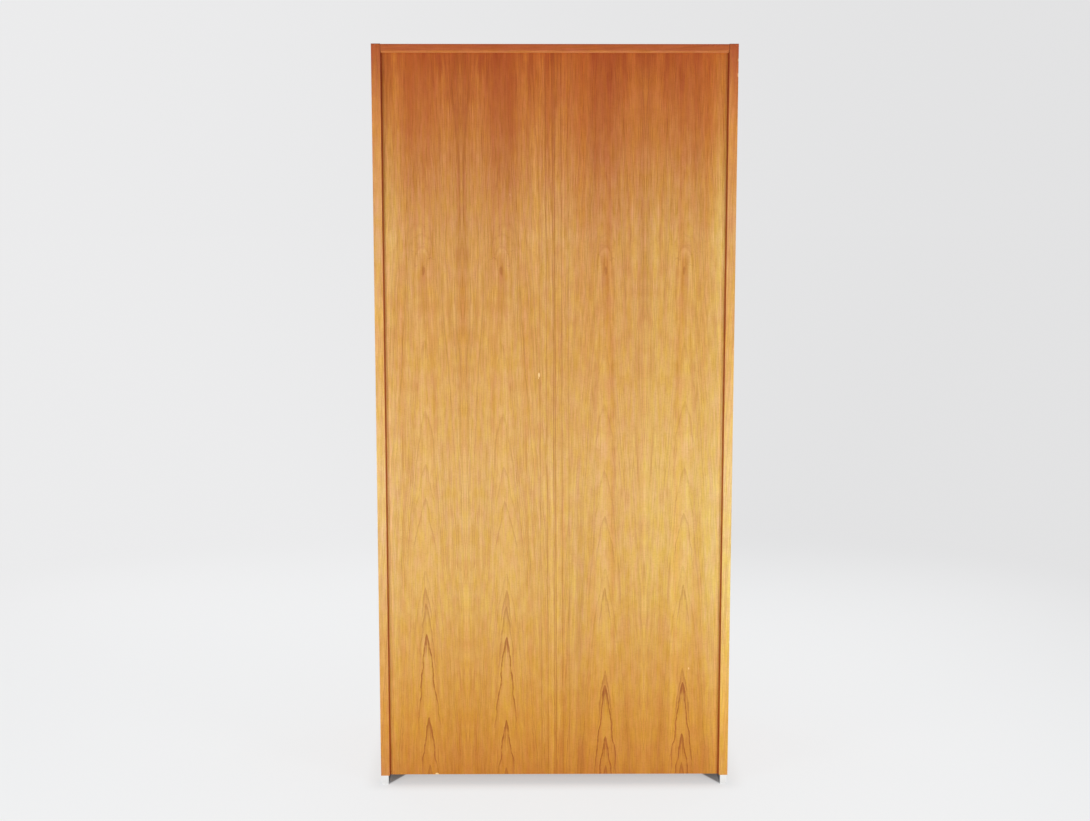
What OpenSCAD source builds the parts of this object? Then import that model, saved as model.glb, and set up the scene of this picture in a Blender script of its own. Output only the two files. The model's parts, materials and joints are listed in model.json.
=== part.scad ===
// Free-standing two-door wardrobe in teak veneer with solid lippings.
// Front (doors) towards -Y, veneered back towards +Y, floor at z = 0, centre of the plan at x = y = 0.

/* [Case] */
// Width over both sides
case_w = 955; // [820:1:1200]
// Height of the case above its runners
case_h = 1975; // [1750:1:2200]
// Depth from the door faces to the rear edges of the sides
case_d = 600; // [520:1:700]
// Thickness of each side
side_t = 24; // [20:1:30]
// Thickness of the top board
top_t = 22; // [20:1:30]
// How far the top board lies below the upper ends of the sides
top_drop = 1; // [0:0.5:3]
// Bevel along the rear lower arris of the top board
top_bevel = 5; // [2:0.5:5.5]
// Thickness of the bottom board
bottom_t = 22; // [18:1:30]
// Thickness of the centre partition
partition_t = 22; // [20:1:30]
// Thickness of the solid lippings on the front edges of the case
lip_t = 5; // [4:0.5:6]
// Thickness of the solid lippings on the rear edges of the case
rear_lip_t = 7; // [6:0.5:7.5]
// Radius of the eased arrises
arris_r = 1; // [0.5:0.1:1.5]
// Gap at the glued butt joints of the case
butt_gap = 0.2; // [0.1:0.1:0.4]

/* [Back panel] */
// Thickness of the back panel
back_t = 12; // [8:1:16]
// Distance from the rear edges of the sides in to the back panel
back_recess = 10; // [8:1:20]
// Depth of the grooves that hold the back panel
groove_depth = 8; // [5:1:10]
// Play of the back panel in its grooves
groove_play = 0.2; // [0.1:0.1:0.4]

/* [Dowels] */
// Diameter of the dowels
dowel_d = 8; // [6:1:10]
// Length of a dowel inside the drilled board
dowel_in_board = 24; // [18:1:30]
// Length of a dowel inside the crossing board
dowel_in_side = 12; // [8:1:14]
// Distance from the front and the rear of the boards to the end dowels
dowel_end = 75; // [60:1:90]
// Radial play of a dowel in its hole
dowel_play = 0.05; // [0.02:0.01:0.1]

/* [Runners] */
// Height of the metal runners
runner_h = 25; // [18:1:40]
// Width of the metal runners
runner_w = 18; // [16:1:20]
// Diameter of the runner screws
runner_screw_d = 5; // [4:0.5:6]
// Length of the runner screws
runner_screw_l = 45; // [40:1:60]
// Distance from the ends of the runners to the end screws
runner_screw_end = 60; // [50:1:62]
// Depth of the counterbores in the runners
counterbore_depth = 14; // [8:1:16]

/* [Doors] */
// Thickness of the doors
door_t = 20; // [18:1:24]
// Gap round each door
door_gap = 1.5; // [1.2:0.1:2]
// Gap between the two doors
meet_gap = 2; // [1.5:0.1:3]
// Distance from the closed doors to the partition that stops them
stop_gap = 1; // [0.5:0.1:2]
// Thickness of the lippings round the doors
door_lip = 6; // [4:1:8]

/* [Hinges] */
// Height of a hinge
hinge_h = 64; // [50:1:80]
// Number of knuckles in a hinge
knuckles = 5; // [3:2:7]
// Radius of the knuckles
knuckle_r = 3.5; // [3:0.1:4.5]
// Gap between the knuckles, and between the knuckles and the wood
knuckle_gap = 0.4; // [0.3:0.05:0.6]
// Radius of the hinge pins
hinge_pin_r = 1.75; // [1.5:0.05:2]
// Radial play of the pins in the knuckles
hinge_play = 0.05; // [0.02:0.01:0.1]
// Width of a leaf behind the face of the door
leaf_w = 16; // [14:1:18]
// Thickness of a leaf
leaf_t = 1.5; // [1.2:0.1:2]
// Height of the end hinges in from the ends of the doors
hinge_inset = 190; // [120:5:300]

/* [Small screws] */
// Radius of the screw shanks
screw_r = 1.5; // [1.2:0.1:1.8]
// Radius of the countersunk heads
screw_head_r = 3; // [2.6:0.1:3.4]
// Length of the screws under the surface they sit in
screw_l = 14; // [11:1:15]
// Width of the slots in the heads
screw_slot_w = 0.8; // [0.6:0.1:1]
// Depth of the slots in the heads
screw_slot_depth = 0.7; // [0.5:0.1:1]
// Play of the screws in their holes
screw_play = 0.05; // [0.02:0.01:0.1]

/* [Pulls] */
// Height of the pulls along the doors
pull_l = 168; // [120:1:220]
// Width of the pulls at the middle
pull_w = 26; // [20:1:30]
// Width of the pulls at their ends
pull_end_w = 10; // [6:1:14]
// How far the pulls stand out from the doors
pull_h = 30; // [22:1:40]
// Width of the grip behind the nose of the pull
pull_waist = 13; // [10:1:18]
// Height of the middle of the pulls
pull_z = 1110; // [900:5:1250]
// Least height of the lower ends of the pulls above the key
pull_over_key = 22; // [16:1:40]
// Distance from the meeting edge to the middle of the pulls
pull_inset = 30; // [22:1:60]
// Distance between the two screws of a pull
pull_screw_span = 96; // [64:1:120]
// Radius of the pull screws
pull_screw_r = 2; // [1.8:0.1:2.5]

/* [Lock] */
// Height of the key
key_z = 975; // [850:5:1250]
// Distance from the meeting edge to the key
backset = 26; // [24:1:34]
// Depth of the lock in the door
lock_t = 10; // [9:0.5:12]
// Wall of the lock case and its cover
lock_wall = 1.2; // [1:0.1:1.5]
// Length of the lock along the door
lock_l = 50; // [46:1:60]
// Radius of the key shank
key_r = 2.2; // [2:0.1:2.4]
// Reach of the key bit from the middle of the shank
bit_reach = 8.5; // [8:0.1:9]
// Width of the key bit
bit_w = 2.4; // [2:0.1:2.6]
// Height of the lock bolt
bolt_h = 12; // [10:1:14]
// Thickness of the lock bolt
bolt_t = 5; // [4:0.5:5.5]
// Throw of the lock bolt
bolt_throw = 10; // [9:0.5:10.5]
// Play of the bolt in its slot
bolt_play = 0.25; // [0.1:0.05:0.4]
// Turn of the key that throws the bolt, in degrees
key_turn = 90; // [80:5:90]

/* [Top bolt] */
// Radius of the top bolt of the left door
rod_r = 3; // [2.5:0.1:3.5]
// Length of the top bolt
rod_l = 92; // [80:1:120]
// Throw of the top bolt
rod_throw = 13; // [10:1:14]
// Width of its square keep hole
keep_hole = 9; // [8:0.5:10]
// Width of the bolt plate
rod_plate_w = 20; // [18:1:26]
// Distance from the meeting edge to the top bolt
rod_inset = 30; // [26:1:60]

/* [Inside] */
// Thickness of the shelves
shelf_t = 18; // [16:1:22]
// Distance from the closed doors back to the shelves
shelf_setback = 28; // [22:1:60]
// Play at the ends and the back of the shelves
shelf_play = 1; // [0.5:0.1:2]
// Height of the lowest row of pin holes
pin_row_z = 240; // [150:5:350]
// Distance between the rows of pin holes
pin_pitch = 50; // [32:1:64]
// Number of rows of pin holes
pin_rows = 29; // [24:1:30]
// Radius of the shelf pins
shelf_pin_r = 2.5; // [2:0.1:3]
// Depth of the pin holes
pin_hole_depth = 9; // [7:0.5:9.5]
// Distance from the shelf ends' front and rear corners to the pins
pin_inset = 50; // [30:1:90]
// Rows that carry the four shelves, counted from the lowest
shelf_rows = [3, 9, 15, 22];
// Height of the space above the hat shelf
hat_space_h = 257; // [200:1:450]
// Radius of the clothes rail
rail_r = 12.5; // [10:0.5:15]
// Wall of the clothes rail
rail_wall = 1.2; // [1:0.1:2]
// Distance from the hat shelf down to the middle of the rail
rail_drop = 60; // [45:1:90]

/* [Catches] */
// Length of a magnetic catch
catch_l = 46; // [40:1:60]
// Depth of a magnetic catch
catch_d = 17; // [15:1:20]
// Height of a magnetic catch
catch_h = 13; // [11:1:15]
// Distance from the meeting line to the middle of a catch
catch_x = 110; // [85:5:200]
// Thickness of the strike plates on the doors
strike_t = 1.2; // [1:0.1:1.5]
// Gap between the magnets and the strike plates
catch_gap = 0.5; // [0.3:0.1:1]

/* [Hidden] */
$fn = 48;

// Finishes
teak = [0.76, 0.50, 0.25];
teak_solid = [0.66, 0.40, 0.19];
beech = [0.85, 0.71, 0.52];
brass = [0.79, 0.63, 0.30];
steel = [0.72, 0.72, 0.73];
plastic = [0.86, 0.84, 0.78];

// A hair more than the surface that a cut starts from
cut = 0.5;

// Levels and planes of the case
inner_w = case_w - 2 * side_t;
side_x = inner_w / 2;
y_rear = (case_d + pull_h) / 2;
y_face = y_rear - case_d;
y_door_back = y_face + door_t;
y_back_rear = y_rear - back_recess;
y_back_front = y_back_rear - back_t;
z_case = runner_h;
z_inside = z_case + bottom_t;
z_top = z_case + case_h;
z_top_face = z_top - top_drop;
z_roof = z_top_face - top_t;
y_partition = y_door_back + stop_gap;

// Dowels: places along the depth of the boards, and levels of the boards' middles
dowel_step = (y_back_front - y_face - 2 * dowel_end) / 3;
dowel_y = [for (i = [0 : 3]) y_face + dowel_end + i * dowel_step];
z_top_mid = z_roof + top_t / 2;
z_bottom_mid = z_case + bottom_t / 2;

// Runner screws along the depth of the case
runner_screw_y = [y_face + runner_screw_end, y_face + case_d / 2, y_rear - runner_screw_end];
runner_x = side_x + side_t / 2;
runner_head_r = runner_screw_d;

// Doors, drawn for the left one and mirrored for the right one
door_w = (inner_w - 2 * door_gap - meet_gap) / 2;
door_h = z_roof - z_inside - 2 * door_gap;
door_x = -side_x + door_gap;
door_z = z_inside + door_gap;
meet_x = -meet_gap / 2;

// Hinge axis, and the heights of the three hinges
axis_front = knuckle_r + knuckle_gap;
hinge_x = -side_x + door_gap / 2;
hinge_y = y_face - axis_front;
hinge_z = [door_z + hinge_inset, door_z + door_h / 2, door_z + door_h - hinge_inset];
leaf_screw_y = axis_front + leaf_w * 0.64;
leaf_screw_z = [-hinge_h * 0.36, 0, hinge_h * 0.36];
knuckle_h = (hinge_h - (knuckles - 1) * knuckle_gap) / knuckles;
knuckle_step = knuckle_h + knuckle_gap;

// Pulls
pull_x = meet_x - pull_inset;
pull_mid_z = max(pull_z, key_z + pull_over_key + pull_l / 2);
pull_screw_depth = 16;
pull_head_h = 2.5;

// Lock, drawn in the right door
lock_x0 = meet_gap / 2;
key_x = lock_x0 + backset;
lock_y0 = y_door_back - lock_t;
lock_inner_t = lock_t - 2 * lock_wall;
lock_mid_y = lock_y0 + lock_t / 2;
bolt_z0 = bit_reach * 0.64;
lock_below = bit_reach + 3.5;
lock_above = bolt_z0 + bolt_h + 3.5;
notch_w = bit_w * sqrt(2) + 0.1 * bit_reach;
bolt_l = lock_l - bolt_throw - 3;
bolt_slot_z = bolt_h + 2 * bolt_play;
bolt_slot_y = bolt_t + 2 * bolt_play;
selvedge_w = 14;
selvedge_t = 1.5;
mortise_play = 1;
mortise_depth = bolt_throw + 1;
recess_play = 0.2;
plate_screw_z = [-lock_below - 4, lock_above + 4];
selvedge_z0 = -lock_below - 9;
selvedge_z1 = lock_above + 9;
bow_r = 8;
bow_half = 4;
bow_t = 2.6;
bow_y = y_face - pull_h + bow_r + 1;

// Top bolt of the left door
rod_x = meet_x - rod_inset;
rod_plate_t = 1.5;
rod_y = y_door_back + rod_plate_t + 5.5;
rod_top = z_roof - 3;
rod_plate_h = 76;
rod_plate_z = door_z + door_h - rod_plate_h - 6;
guide_h = 12;
guide_play = 0.1;
keep_t = 1.5;
keep_w = 26;
keep_depth = rod_throw + 1;
keep_screw_x = keep_w / 2 - screw_head_r - 1.2;
rod_screw_x = rod_plate_w / 2 - screw_head_r - 1.2;
rod_screw_inset = 10;
rod_screw_z = rod_plate_h / 2 - guide_h - rod_screw_inset;
guide_w = 14;
knob_r = 4;
knob_l = 9;

// Shelves and their pins
shelf_y0 = y_door_back + shelf_setback;
shelf_y1 = y_back_front - shelf_play;
bay_x0 = partition_t / 2;
bay_w = side_x - bay_x0;
shelf_w = bay_w - 2 * shelf_play;
shelf_x0 = bay_x0 + shelf_play;
pin_y = [shelf_y0 + pin_inset, shelf_y1 - pin_inset];
pin_flat = shelf_pin_r * 0.6;
pin_collar_r = shelf_pin_r * 2;
pin_reach = 9;
pin_play = 0.05;
pin_end_play = 0.5;
hat_z = z_roof - hat_space_h - shelf_t;
hat_pin_z = hat_z - pin_flat;
shelf_lip = 6;

// Clothes rail and its sockets
rail_z = hat_z - rail_drop;
rail_y = (y_door_back + y_back_front) / 2;
socket_plate_t = 2;
socket_r = rail_r + 3;
socket_depth = 14;
socket_play = 0.1;
socket_screw_y = socket_r + 7;

// Catches
catch_z0 = z_roof - catch_h;
catch_y0 = y_door_back + strike_t + catch_gap;
catch_screw_x = catch_l / 2 - 5;
magnet_l = catch_l - 20;
magnet_d = 9;
strike_l = 38;
strike_h = 16;
strike_z = door_z + door_h - 1 - strike_h;
strike_screw_x = strike_l / 2 - 6;
strike_screw_z = 4.5;

// ---------- shared shapes ----------

// Draws what stands on the left a second time on the right
module on_right() {
    mirror([1, 0, 0]) children();
}

// A box from one corner to the other
module block(from, to) {
    translate(from) cube(to - from);
}

// A rectangle with all four corners eased
module eased(from, to, r = arris_r) {
    translate([from.x + r, from.y]) square([to.x - from.x - 2 * r, to.y - from.y]);
    translate([from.x, from.y + r]) square([to.x - from.x, to.y - from.y - 2 * r]);
    for (x = [from.x + r, to.x - r], y = [from.y + r, to.y - r])
        translate([x, y]) circle(r, $fn = 24);
}

// A rectangle with the two corners on its lower side (towards -Y) eased
module eased_front(from, to, r = arris_r) {
    translate([from.x + r, from.y]) square([to.x - from.x - 2 * r, to.y - from.y]);
    translate([from.x, from.y + r]) square([to.x - from.x, to.y - from.y - r]);
    for (x = [from.x + r, to.x - r]) translate([x, from.y + r]) circle(r, $fn = 24);
}

// Stands a drawing of the section (y, z) up and draws it out along X
module along_x(x0, length) {
    translate([x0, 0, 0]) rotate([90, 0, 90]) linear_extrude(length) children();
}

// Countersunk wood screw: its head lies at the origin, its point towards -Z
module wood_screw(l = screw_l) {
    difference() {
        rotate_extrude() polygon([
            [0, 0], [screw_head_r, 0], [screw_r, screw_r - screw_head_r], [screw_r, 2 * screw_r - l], [0, -l]]);
        translate([-screw_head_r - cut, -screw_slot_w / 2, -screw_slot_depth])
            cube([2 * screw_head_r + 2 * cut, screw_slot_w, screw_slot_depth + cut]);
    }
}

// The countersunk hole that such a screw goes in
module screw_hole(l = screw_l) {
    r = screw_r + screw_play;
    head_r = screw_head_r + screw_play;
    rotate_extrude() polygon([
        [0, cut], [head_r, cut], [head_r, 0], [r, r - head_r], [r, 2 * r - l], [0, -l - screw_play]]);
}

// ---------- places shared by the holes and by what goes into them ----------

// Dowels between a side (or the right side, mirrored) and the top or bottom board
module side_dowels(play = 0) {
    for (y = dowel_y, z = [z_top_mid, z_bottom_mid])
        translate([-side_x - dowel_in_side - play, y, z]) rotate([0, 90, 0])
            cylinder(h = dowel_in_side + dowel_in_board + 2 * play, d = dowel_d + 2 * play);
}

// Dowels between the partition and the top or bottom board
module partition_dowels(play = 0) {
    for (y = [dowel_y[0], dowel_y[2], dowel_y[3]]) {
        translate([0, y, z_roof - dowel_in_board - play])
            cylinder(h = dowel_in_side + dowel_in_board + 2 * play, d = dowel_d + 2 * play);
        translate([0, y, z_inside - dowel_in_side - play])
            cylinder(h = dowel_in_side + dowel_in_board + 2 * play, d = dowel_d + 2 * play);
    }
}

// Screws that hold the left runner, pointing up, with room for their heads
module runner_screw_set(play = 0) {
    for (y = runner_screw_y) translate([-runner_x, y, counterbore_depth]) {
        cylinder(h = runner_screw_l + play, d = runner_screw_d + 2 * play);
        translate([0, 0, -3 - play]) cylinder(h = 3 + play, r = runner_head_r + play);
    }
}

// The places of the screws of the left hinges, in the case leaf (side = -1) or the door leaf (side = 1)
module at_leaf_screws(side) {
    for (z = hinge_z, s = leaf_screw_z)
        translate([hinge_x + side * door_gap / 2, hinge_y + leaf_screw_y, z + s]) rotate([0, -side * 90, 0])
            children();
}

// Room for the left hinges' leaves, let in flush
module leaf_seats(side) {
    for (z = hinge_z)
        translate([hinge_x + side * (door_gap + leaf_t) / 2, 0, z])
            block([-leaf_t / 2 - (side < 0 ? recess_play : cut), y_face - cut, -hinge_h / 2 - recess_play],
                  [leaf_t / 2 + (side < 0 ? cut : recess_play), y_face + leaf_w + recess_play,
                   hinge_h / 2 + recess_play]);
}

// Shelf pins along one wall that faces +X, at the given height; play > 0 draws the holes
module wall_pins(x, z, play = 0) {
    for (y = pin_y) translate([x, y, z]) rotate([0, 90, 0]) {
        if (play > 0)
            translate([0, 0, -pin_hole_depth]) cylinder(h = pin_hole_depth + cut, r = shelf_pin_r + play);
        else
            intersection() {
                union() {
                    translate([0, 0, -pin_hole_depth + pin_end_play])
                        cylinder(h = pin_hole_depth + pin_reach - pin_end_play, r = shelf_pin_r);
                    cylinder(h = shelf_play * 0.9, r = pin_collar_r);
                }
                // flat upper side that the shelf lies on, left round inside the hole
                union() {
                    translate([-pin_flat, -pin_collar_r, 0])
                        cube([pin_flat + pin_collar_r, 2 * pin_collar_r, pin_reach]);
                    translate([-shelf_pin_r, -shelf_pin_r, -pin_hole_depth])
                        cube([2 * shelf_pin_r, 2 * shelf_pin_r, pin_hole_depth]);
                }
            }
    }
}

// Height of a row of pin holes, and the underside of the shelf that lies on it
function row_z(i) = pin_row_z + i * pin_pitch;
function shelf_z(i) = row_z(shelf_rows[i]) + pin_flat;

// All pin holes of the right bay, in a wall that faces +X at x
module pin_hole_rows(x) {
    for (i = [0 : pin_rows - 1]) wall_pins(x, row_z(i), pin_play);
}

// The places of a rail socket's screws on a wall that faces +X at x
module at_socket_screws(x) {
    for (s = [-1, 1]) translate([x + socket_plate_t, rail_y + s * socket_screw_y, rail_z]) rotate([0, 90, 0])
        children();
}

// The places of the catches' screws, which point up into the top board
module at_catch_screws() {
    for (s = [-1, 1], t = [-1, 1])
        translate([s * catch_x + t * catch_screw_x, catch_y0 + catch_d / 2, catch_z0]) rotate([180, 0, 0])
            children();
}

// The places of the screws of the left door's strike plate
module at_strike_screws() {
    for (t = [-1, 1])
        translate([-catch_x + t * strike_screw_x, y_door_back + strike_t, strike_z + strike_screw_z])
            rotate([-90, 0, 0]) children();
}

// The places of the screws of the top bolt's plate
module at_rod_plate_screws() {
    middle = rod_plate_z + rod_plate_h / 2;
    for (s = [-1, 1])
        translate([rod_x + s * rod_screw_x, y_door_back + rod_plate_t, middle + s * rod_screw_z])
            rotate([-90, 0, 0]) children();
}

// The places of the screws of the bolt keep, which point up into the top board
module at_keep_screws() {
    for (s = [-1, 1])
        translate([rod_x + s * keep_screw_x, rod_y + s * keep_screw_x, z_roof]) rotate([180, 0, 0]) children();
}

// The places of the striker plate's screws, in the meeting edge of the left door
module at_striker_screws() {
    for (z = plate_screw_z) translate([meet_x, lock_mid_y, key_z + z]) rotate([0, 90, 0]) children();
}

// The places of the lock's screws, in the meeting edge of the right door
module at_selvedge_screws() {
    for (z = plate_screw_z) translate([lock_x0, lock_mid_y, key_z + z]) rotate([0, -90, 0]) children();
}

// Screws that hold the left pull, driven from behind the door; play > 0 draws their holes
module pull_screw_set(play = 0) {
    open = play > 0 ? cut : 0;
    for (s = [-1, 1])
        translate([pull_x, y_door_back + open, pull_mid_z + s * pull_screw_span / 2]) rotate([90, 0, 0]) {
            cylinder(h = open + door_t + pull_screw_depth + play, r = pull_screw_r + play);
            cylinder(h = open + pull_head_h + play, r = 2 * pull_screw_r + play);
        }
}

// ---------- case ----------

module side_board() {
    difference() {
        block([-side_x - side_t, y_face + lip_t, z_case], [-side_x, y_rear - rear_lip_t, z_top]);
        block([-side_x - groove_depth, y_back_front - groove_play, z_case - cut],
              [-side_x + cut, y_back_rear + groove_play, z_roof + groove_depth]);
        side_dowels(dowel_play);
        runner_screw_set(dowel_play);
        leaf_seats(-1);
        at_leaf_screws(-1) screw_hole();
    }
}

module side_left() {
    color(teak) difference() {
        side_board();
        wall_pins(-side_x, hat_pin_z, pin_play);
        at_socket_screws(-side_x) screw_hole();
    }
}

module side_right() {
    color(teak) difference() {
        on_right() side_board();
        on_right() pin_hole_rows(-side_x);
    }
}

module side_lippings() {
    difference() {
        translate([0, 0, z_case]) linear_extrude(case_h)
            eased_front([-side_x - side_t, y_face], [-side_x, y_face + lip_t]);
        leaf_seats(-1);
    }
    translate([0, y_rear, z_case]) mirror([0, 1, 0]) linear_extrude(case_h)
        eased_front([-side_x - side_t, 0], [-side_x, rear_lip_t]);
}

module side_left_lippings() {
    color(teak_solid) side_lippings();
}

module side_right_lippings() {
    color(teak_solid) on_right() side_lippings();
}

module keep_pocket() {
    translate([rod_x, rod_y, z_roof]) {
        translate([-keep_hole / 2, -keep_hole / 2, -cut]) cube([keep_hole, keep_hole, keep_depth + cut]);
        translate([-keep_w / 2 - recess_play, -keep_w / 2 - recess_play, -cut])
            cube([keep_w + 2 * recess_play, keep_w + 2 * recess_play, keep_t + recess_play + cut]);
    }
}

module top_board() {
    half = side_x - butt_gap;
    color(teak) difference() {
        block([-half, y_face + lip_t, z_roof], [half, y_rear - rear_lip_t, z_top_face]);
        block([-half - cut, y_back_front - groove_play, z_roof - cut],
              [half + cut, y_back_rear + groove_play, z_roof + groove_depth]);
        side_dowels(dowel_play);
        on_right() side_dowels(dowel_play);
        partition_dowels(dowel_play);
        at_catch_screws() screw_hole(screw_l + catch_h);
        keep_pocket();
        at_keep_screws() screw_hole();
    }
}

// Front lipping with eased arrises, rear lipping with the bevel under it
module top_lippings() {
    half = side_x - butt_gap;
    color(teak_solid) {
        along_x(-half, 2 * half) rotate(-90) translate([-z_top_face, 0])
            eased_front([0, y_face], [top_t, y_face + lip_t]);
        along_x(-half, 2 * half) polygon([
            [y_rear - rear_lip_t, z_roof], [y_rear - top_bevel, z_roof], [y_rear, z_roof + top_bevel],
            [y_rear, z_top_face], [y_rear - rear_lip_t, z_top_face]]);
    }
}

module bottom_board() {
    half = side_x - butt_gap;
    color(teak) difference() {
        block([-half, y_face + lip_t, z_case], [half, y_back_front, z_inside]);
        side_dowels(dowel_play);
        on_right() side_dowels(dowel_play);
        partition_dowels(dowel_play);
    }
}

module bottom_lipping() {
    half = side_x - butt_gap;
    color(teak_solid) along_x(-half, 2 * half) rotate(-90) translate([-z_inside, 0])
        eased_front([0, y_face], [bottom_t, y_face + lip_t]);
}

module partition() {
    color(teak) difference() {
        block([-partition_t / 2, y_partition + lip_t, z_inside], [partition_t / 2, y_back_front, z_roof]);
        partition_dowels(dowel_play);
        pin_hole_rows(partition_t / 2);
        on_right() wall_pins(partition_t / 2, hat_pin_z, pin_play);
        on_right() at_socket_screws(partition_t / 2) screw_hole();
    }
}

module partition_lipping() {
    color(teak_solid) translate([0, 0, z_inside]) linear_extrude(z_roof - z_inside)
        eased_front([-partition_t / 2, y_partition], [partition_t / 2, y_partition + lip_t]);
}

module back_panel() {
    tongue = groove_depth - 2 * groove_play;
    color(teak) block([-side_x - tongue, y_back_front, z_case], [side_x + tongue, y_back_rear, z_roof + tongue]);
}

module case_dowels() {
    color(beech) {
        side_dowels();
        on_right() side_dowels();
        partition_dowels();
    }
}

// ---------- runners ----------

module runner() {
    difference() {
        translate([-runner_x, 0, 0]) rotate([90, 0, 0]) translate([0, 0, -y_rear]) linear_extrude(case_d)
            eased([-runner_w / 2, 0], [runner_w / 2, runner_h]);
        runner_screw_set(dowel_play);
        for (y = runner_screw_y) translate([-runner_x, y, -cut])
            cylinder(h = counterbore_depth + cut, r = runner_head_r + dowel_play);
    }
}

module runner_left() {
    color(steel) runner();
}

module runner_right() {
    color(steel) on_right() runner();
}

module runner_screws() {
    color(steel) {
        runner_screw_set();
        on_right() runner_screw_set();
    }
}

// ---------- shelves, pins and rail ----------

// One shelf at height z, drawn in the right bay, without its lipping
module shelf(z) {
    block([shelf_x0, shelf_y0 + shelf_lip, z], [shelf_x0 + shelf_w, shelf_y1, z + shelf_t]);
}

module shelf_lipping(z) {
    along_x(shelf_x0, shelf_w) rotate(-90) translate([-z - shelf_t, 0])
        eased_front([0, shelf_y0], [shelf_t, shelf_y0 + shelf_lip]);
}

module hat_shelf() {
    color(teak) on_right() shelf(hat_z);
}

module shelf_1() {
    color(teak) shelf(shelf_z(0));
}

module shelf_2() {
    color(teak) shelf(shelf_z(1));
}

module shelf_3() {
    color(teak) shelf(shelf_z(2));
}

module shelf_4() {
    color(teak) shelf(shelf_z(3));
}

module shelf_lippings() {
    color(teak_solid) {
        on_right() shelf_lipping(hat_z);
        for (i = [0 : 3]) shelf_lipping(shelf_z(i));
    }
}

module shelf_pins() {
    color(steel) {
        wall_pins(-side_x, hat_pin_z);
        on_right() wall_pins(partition_t / 2, hat_pin_z);
        for (i = [0 : 3]) {
            wall_pins(partition_t / 2, row_z(shelf_rows[i]));
            on_right() wall_pins(-side_x, row_z(shelf_rows[i]));
        }
    }
}

module clothes_rail() {
    end = socket_plate_t + shelf_play * 0.3;
    color(steel) translate([-side_x + end, rail_y, rail_z]) rotate([0, 90, 0]) difference() {
        cylinder(h = bay_w - 2 * end, r = rail_r);
        translate([0, 0, -cut]) cylinder(h = bay_w, r = rail_r - rail_wall);
    }
}

// Oval plate with a cup for the rail, on a wall that faces +X at x
module rail_socket(x) {
    difference() {
        translate([x, rail_y, rail_z]) rotate([0, 90, 0]) {
            linear_extrude(socket_plate_t) {
                circle(socket_r + 2);
                for (s = [-1, 1]) translate([0, s * socket_screw_y]) circle(screw_head_r + 2.5);
                square([2 * screw_head_r + 5, 2 * socket_screw_y], center = true);
            }
            difference() {
                cylinder(h = socket_depth, r = socket_r);
                translate([0, 0, socket_plate_t]) cylinder(h = socket_depth, r = rail_r + socket_play);
            }
        }
        at_socket_screws(x) screw_hole();
    }
}

module rail_socket_left() {
    color(steel) rail_socket(-side_x);
}

module rail_socket_right() {
    color(steel) on_right() rail_socket(partition_t / 2);
}

// ---------- hinges ----------

// One leaf of a left hinge about its own axis. side -1 is the case leaf, side 1 the door leaf.
// The case leaf has the odd knuckles and the door leaf the even ones.
module hinge_leaf(side) {
    x0 = side < 0 ? -door_gap / 2 - leaf_t : door_gap / 2;
    difference() {
        union() {
            block([x0, axis_front, -hinge_h / 2], [x0 + leaf_t, axis_front + leaf_w, hinge_h / 2]);
            for (k = [side < 0 ? 0 : 1 : 2 : knuckles - 1])
                translate([0, 0, -hinge_h / 2 + k * knuckle_step]) {
                    cylinder(h = knuckle_h, r = knuckle_r);
                    translate([x0, 0, 0]) cube([leaf_t, axis_front, knuckle_h]);
                }
        }
        translate([0, 0, -hinge_h / 2 - cut]) cylinder(h = hinge_h + 2 * cut, r = hinge_pin_r + hinge_play);
    }
}

module hinge_leaves(side) {
    difference() {
        for (z = hinge_z) translate([hinge_x, hinge_y, z]) hinge_leaf(side);
        at_leaf_screws(side) screw_hole();
    }
}

// Pins with a small ball at both ends
module hinge_pins() {
    for (z = hinge_z) translate([hinge_x, hinge_y, z - hinge_h / 2]) {
        translate([0, 0, -1]) cylinder(h = hinge_h + 2, r = hinge_pin_r);
        for (e = [-2.4, hinge_h + 2.4]) translate([0, 0, e]) sphere(2.6, $fn = 32);
    }
}

module hinge_case_leaves_left() {
    color(brass) hinge_leaves(-1);
}

module hinge_case_leaves_right() {
    color(brass) on_right() hinge_leaves(-1);
}

module hinge_pins_left() {
    color(brass) hinge_pins();
}

module hinge_pins_right() {
    color(brass) on_right() hinge_pins();
}

module hinge_door_leaves_left() {
    color(brass) hinge_leaves(1);
}

module hinge_door_leaves_right() {
    color(brass) on_right() hinge_leaves(1);
}

// ---------- small screws, catches and keep on the case ----------

module case_screws() {
    color(brass) {
        at_leaf_screws(-1) wood_screw();
        on_right() at_leaf_screws(-1) wood_screw();
        at_socket_screws(-side_x) wood_screw();
        on_right() at_socket_screws(partition_t / 2) wood_screw();
        at_catch_screws() wood_screw(screw_l + catch_h);
        at_keep_screws() wood_screw();
    }
}

module catch_bodies() {
    color(plastic) difference() {
        for (s = [-1, 1]) translate([s * catch_x, catch_y0, catch_z0]) linear_extrude(catch_h)
            eased([-catch_l / 2, 0], [catch_l / 2, catch_d], 2);
        for (s = [-1, 1]) translate([s * catch_x - magnet_l / 2 - 0.1, catch_y0 - cut, catch_z0 + 2.4])
            cube([magnet_l + 0.2, magnet_d + cut + 0.1, catch_h - 4.8]);
        at_catch_screws() screw_hole(screw_l + catch_h);
    }
}

module catch_magnets() {
    color(steel) for (s = [-1, 1]) translate([s * catch_x - magnet_l / 2, catch_y0, catch_z0 + 2.5])
        cube([magnet_l, magnet_d, catch_h - 5]);
}

module bolt_keep() {
    color(brass) difference() {
        translate([rod_x, rod_y, z_roof]) linear_extrude(keep_t) difference() {
            eased([-keep_w / 2, -keep_w / 2], [keep_w / 2, keep_w / 2], 2);
            square(keep_hole, center = true);
        }
        at_keep_screws() screw_hole();
    }
}

// ---------- doors ----------

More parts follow.
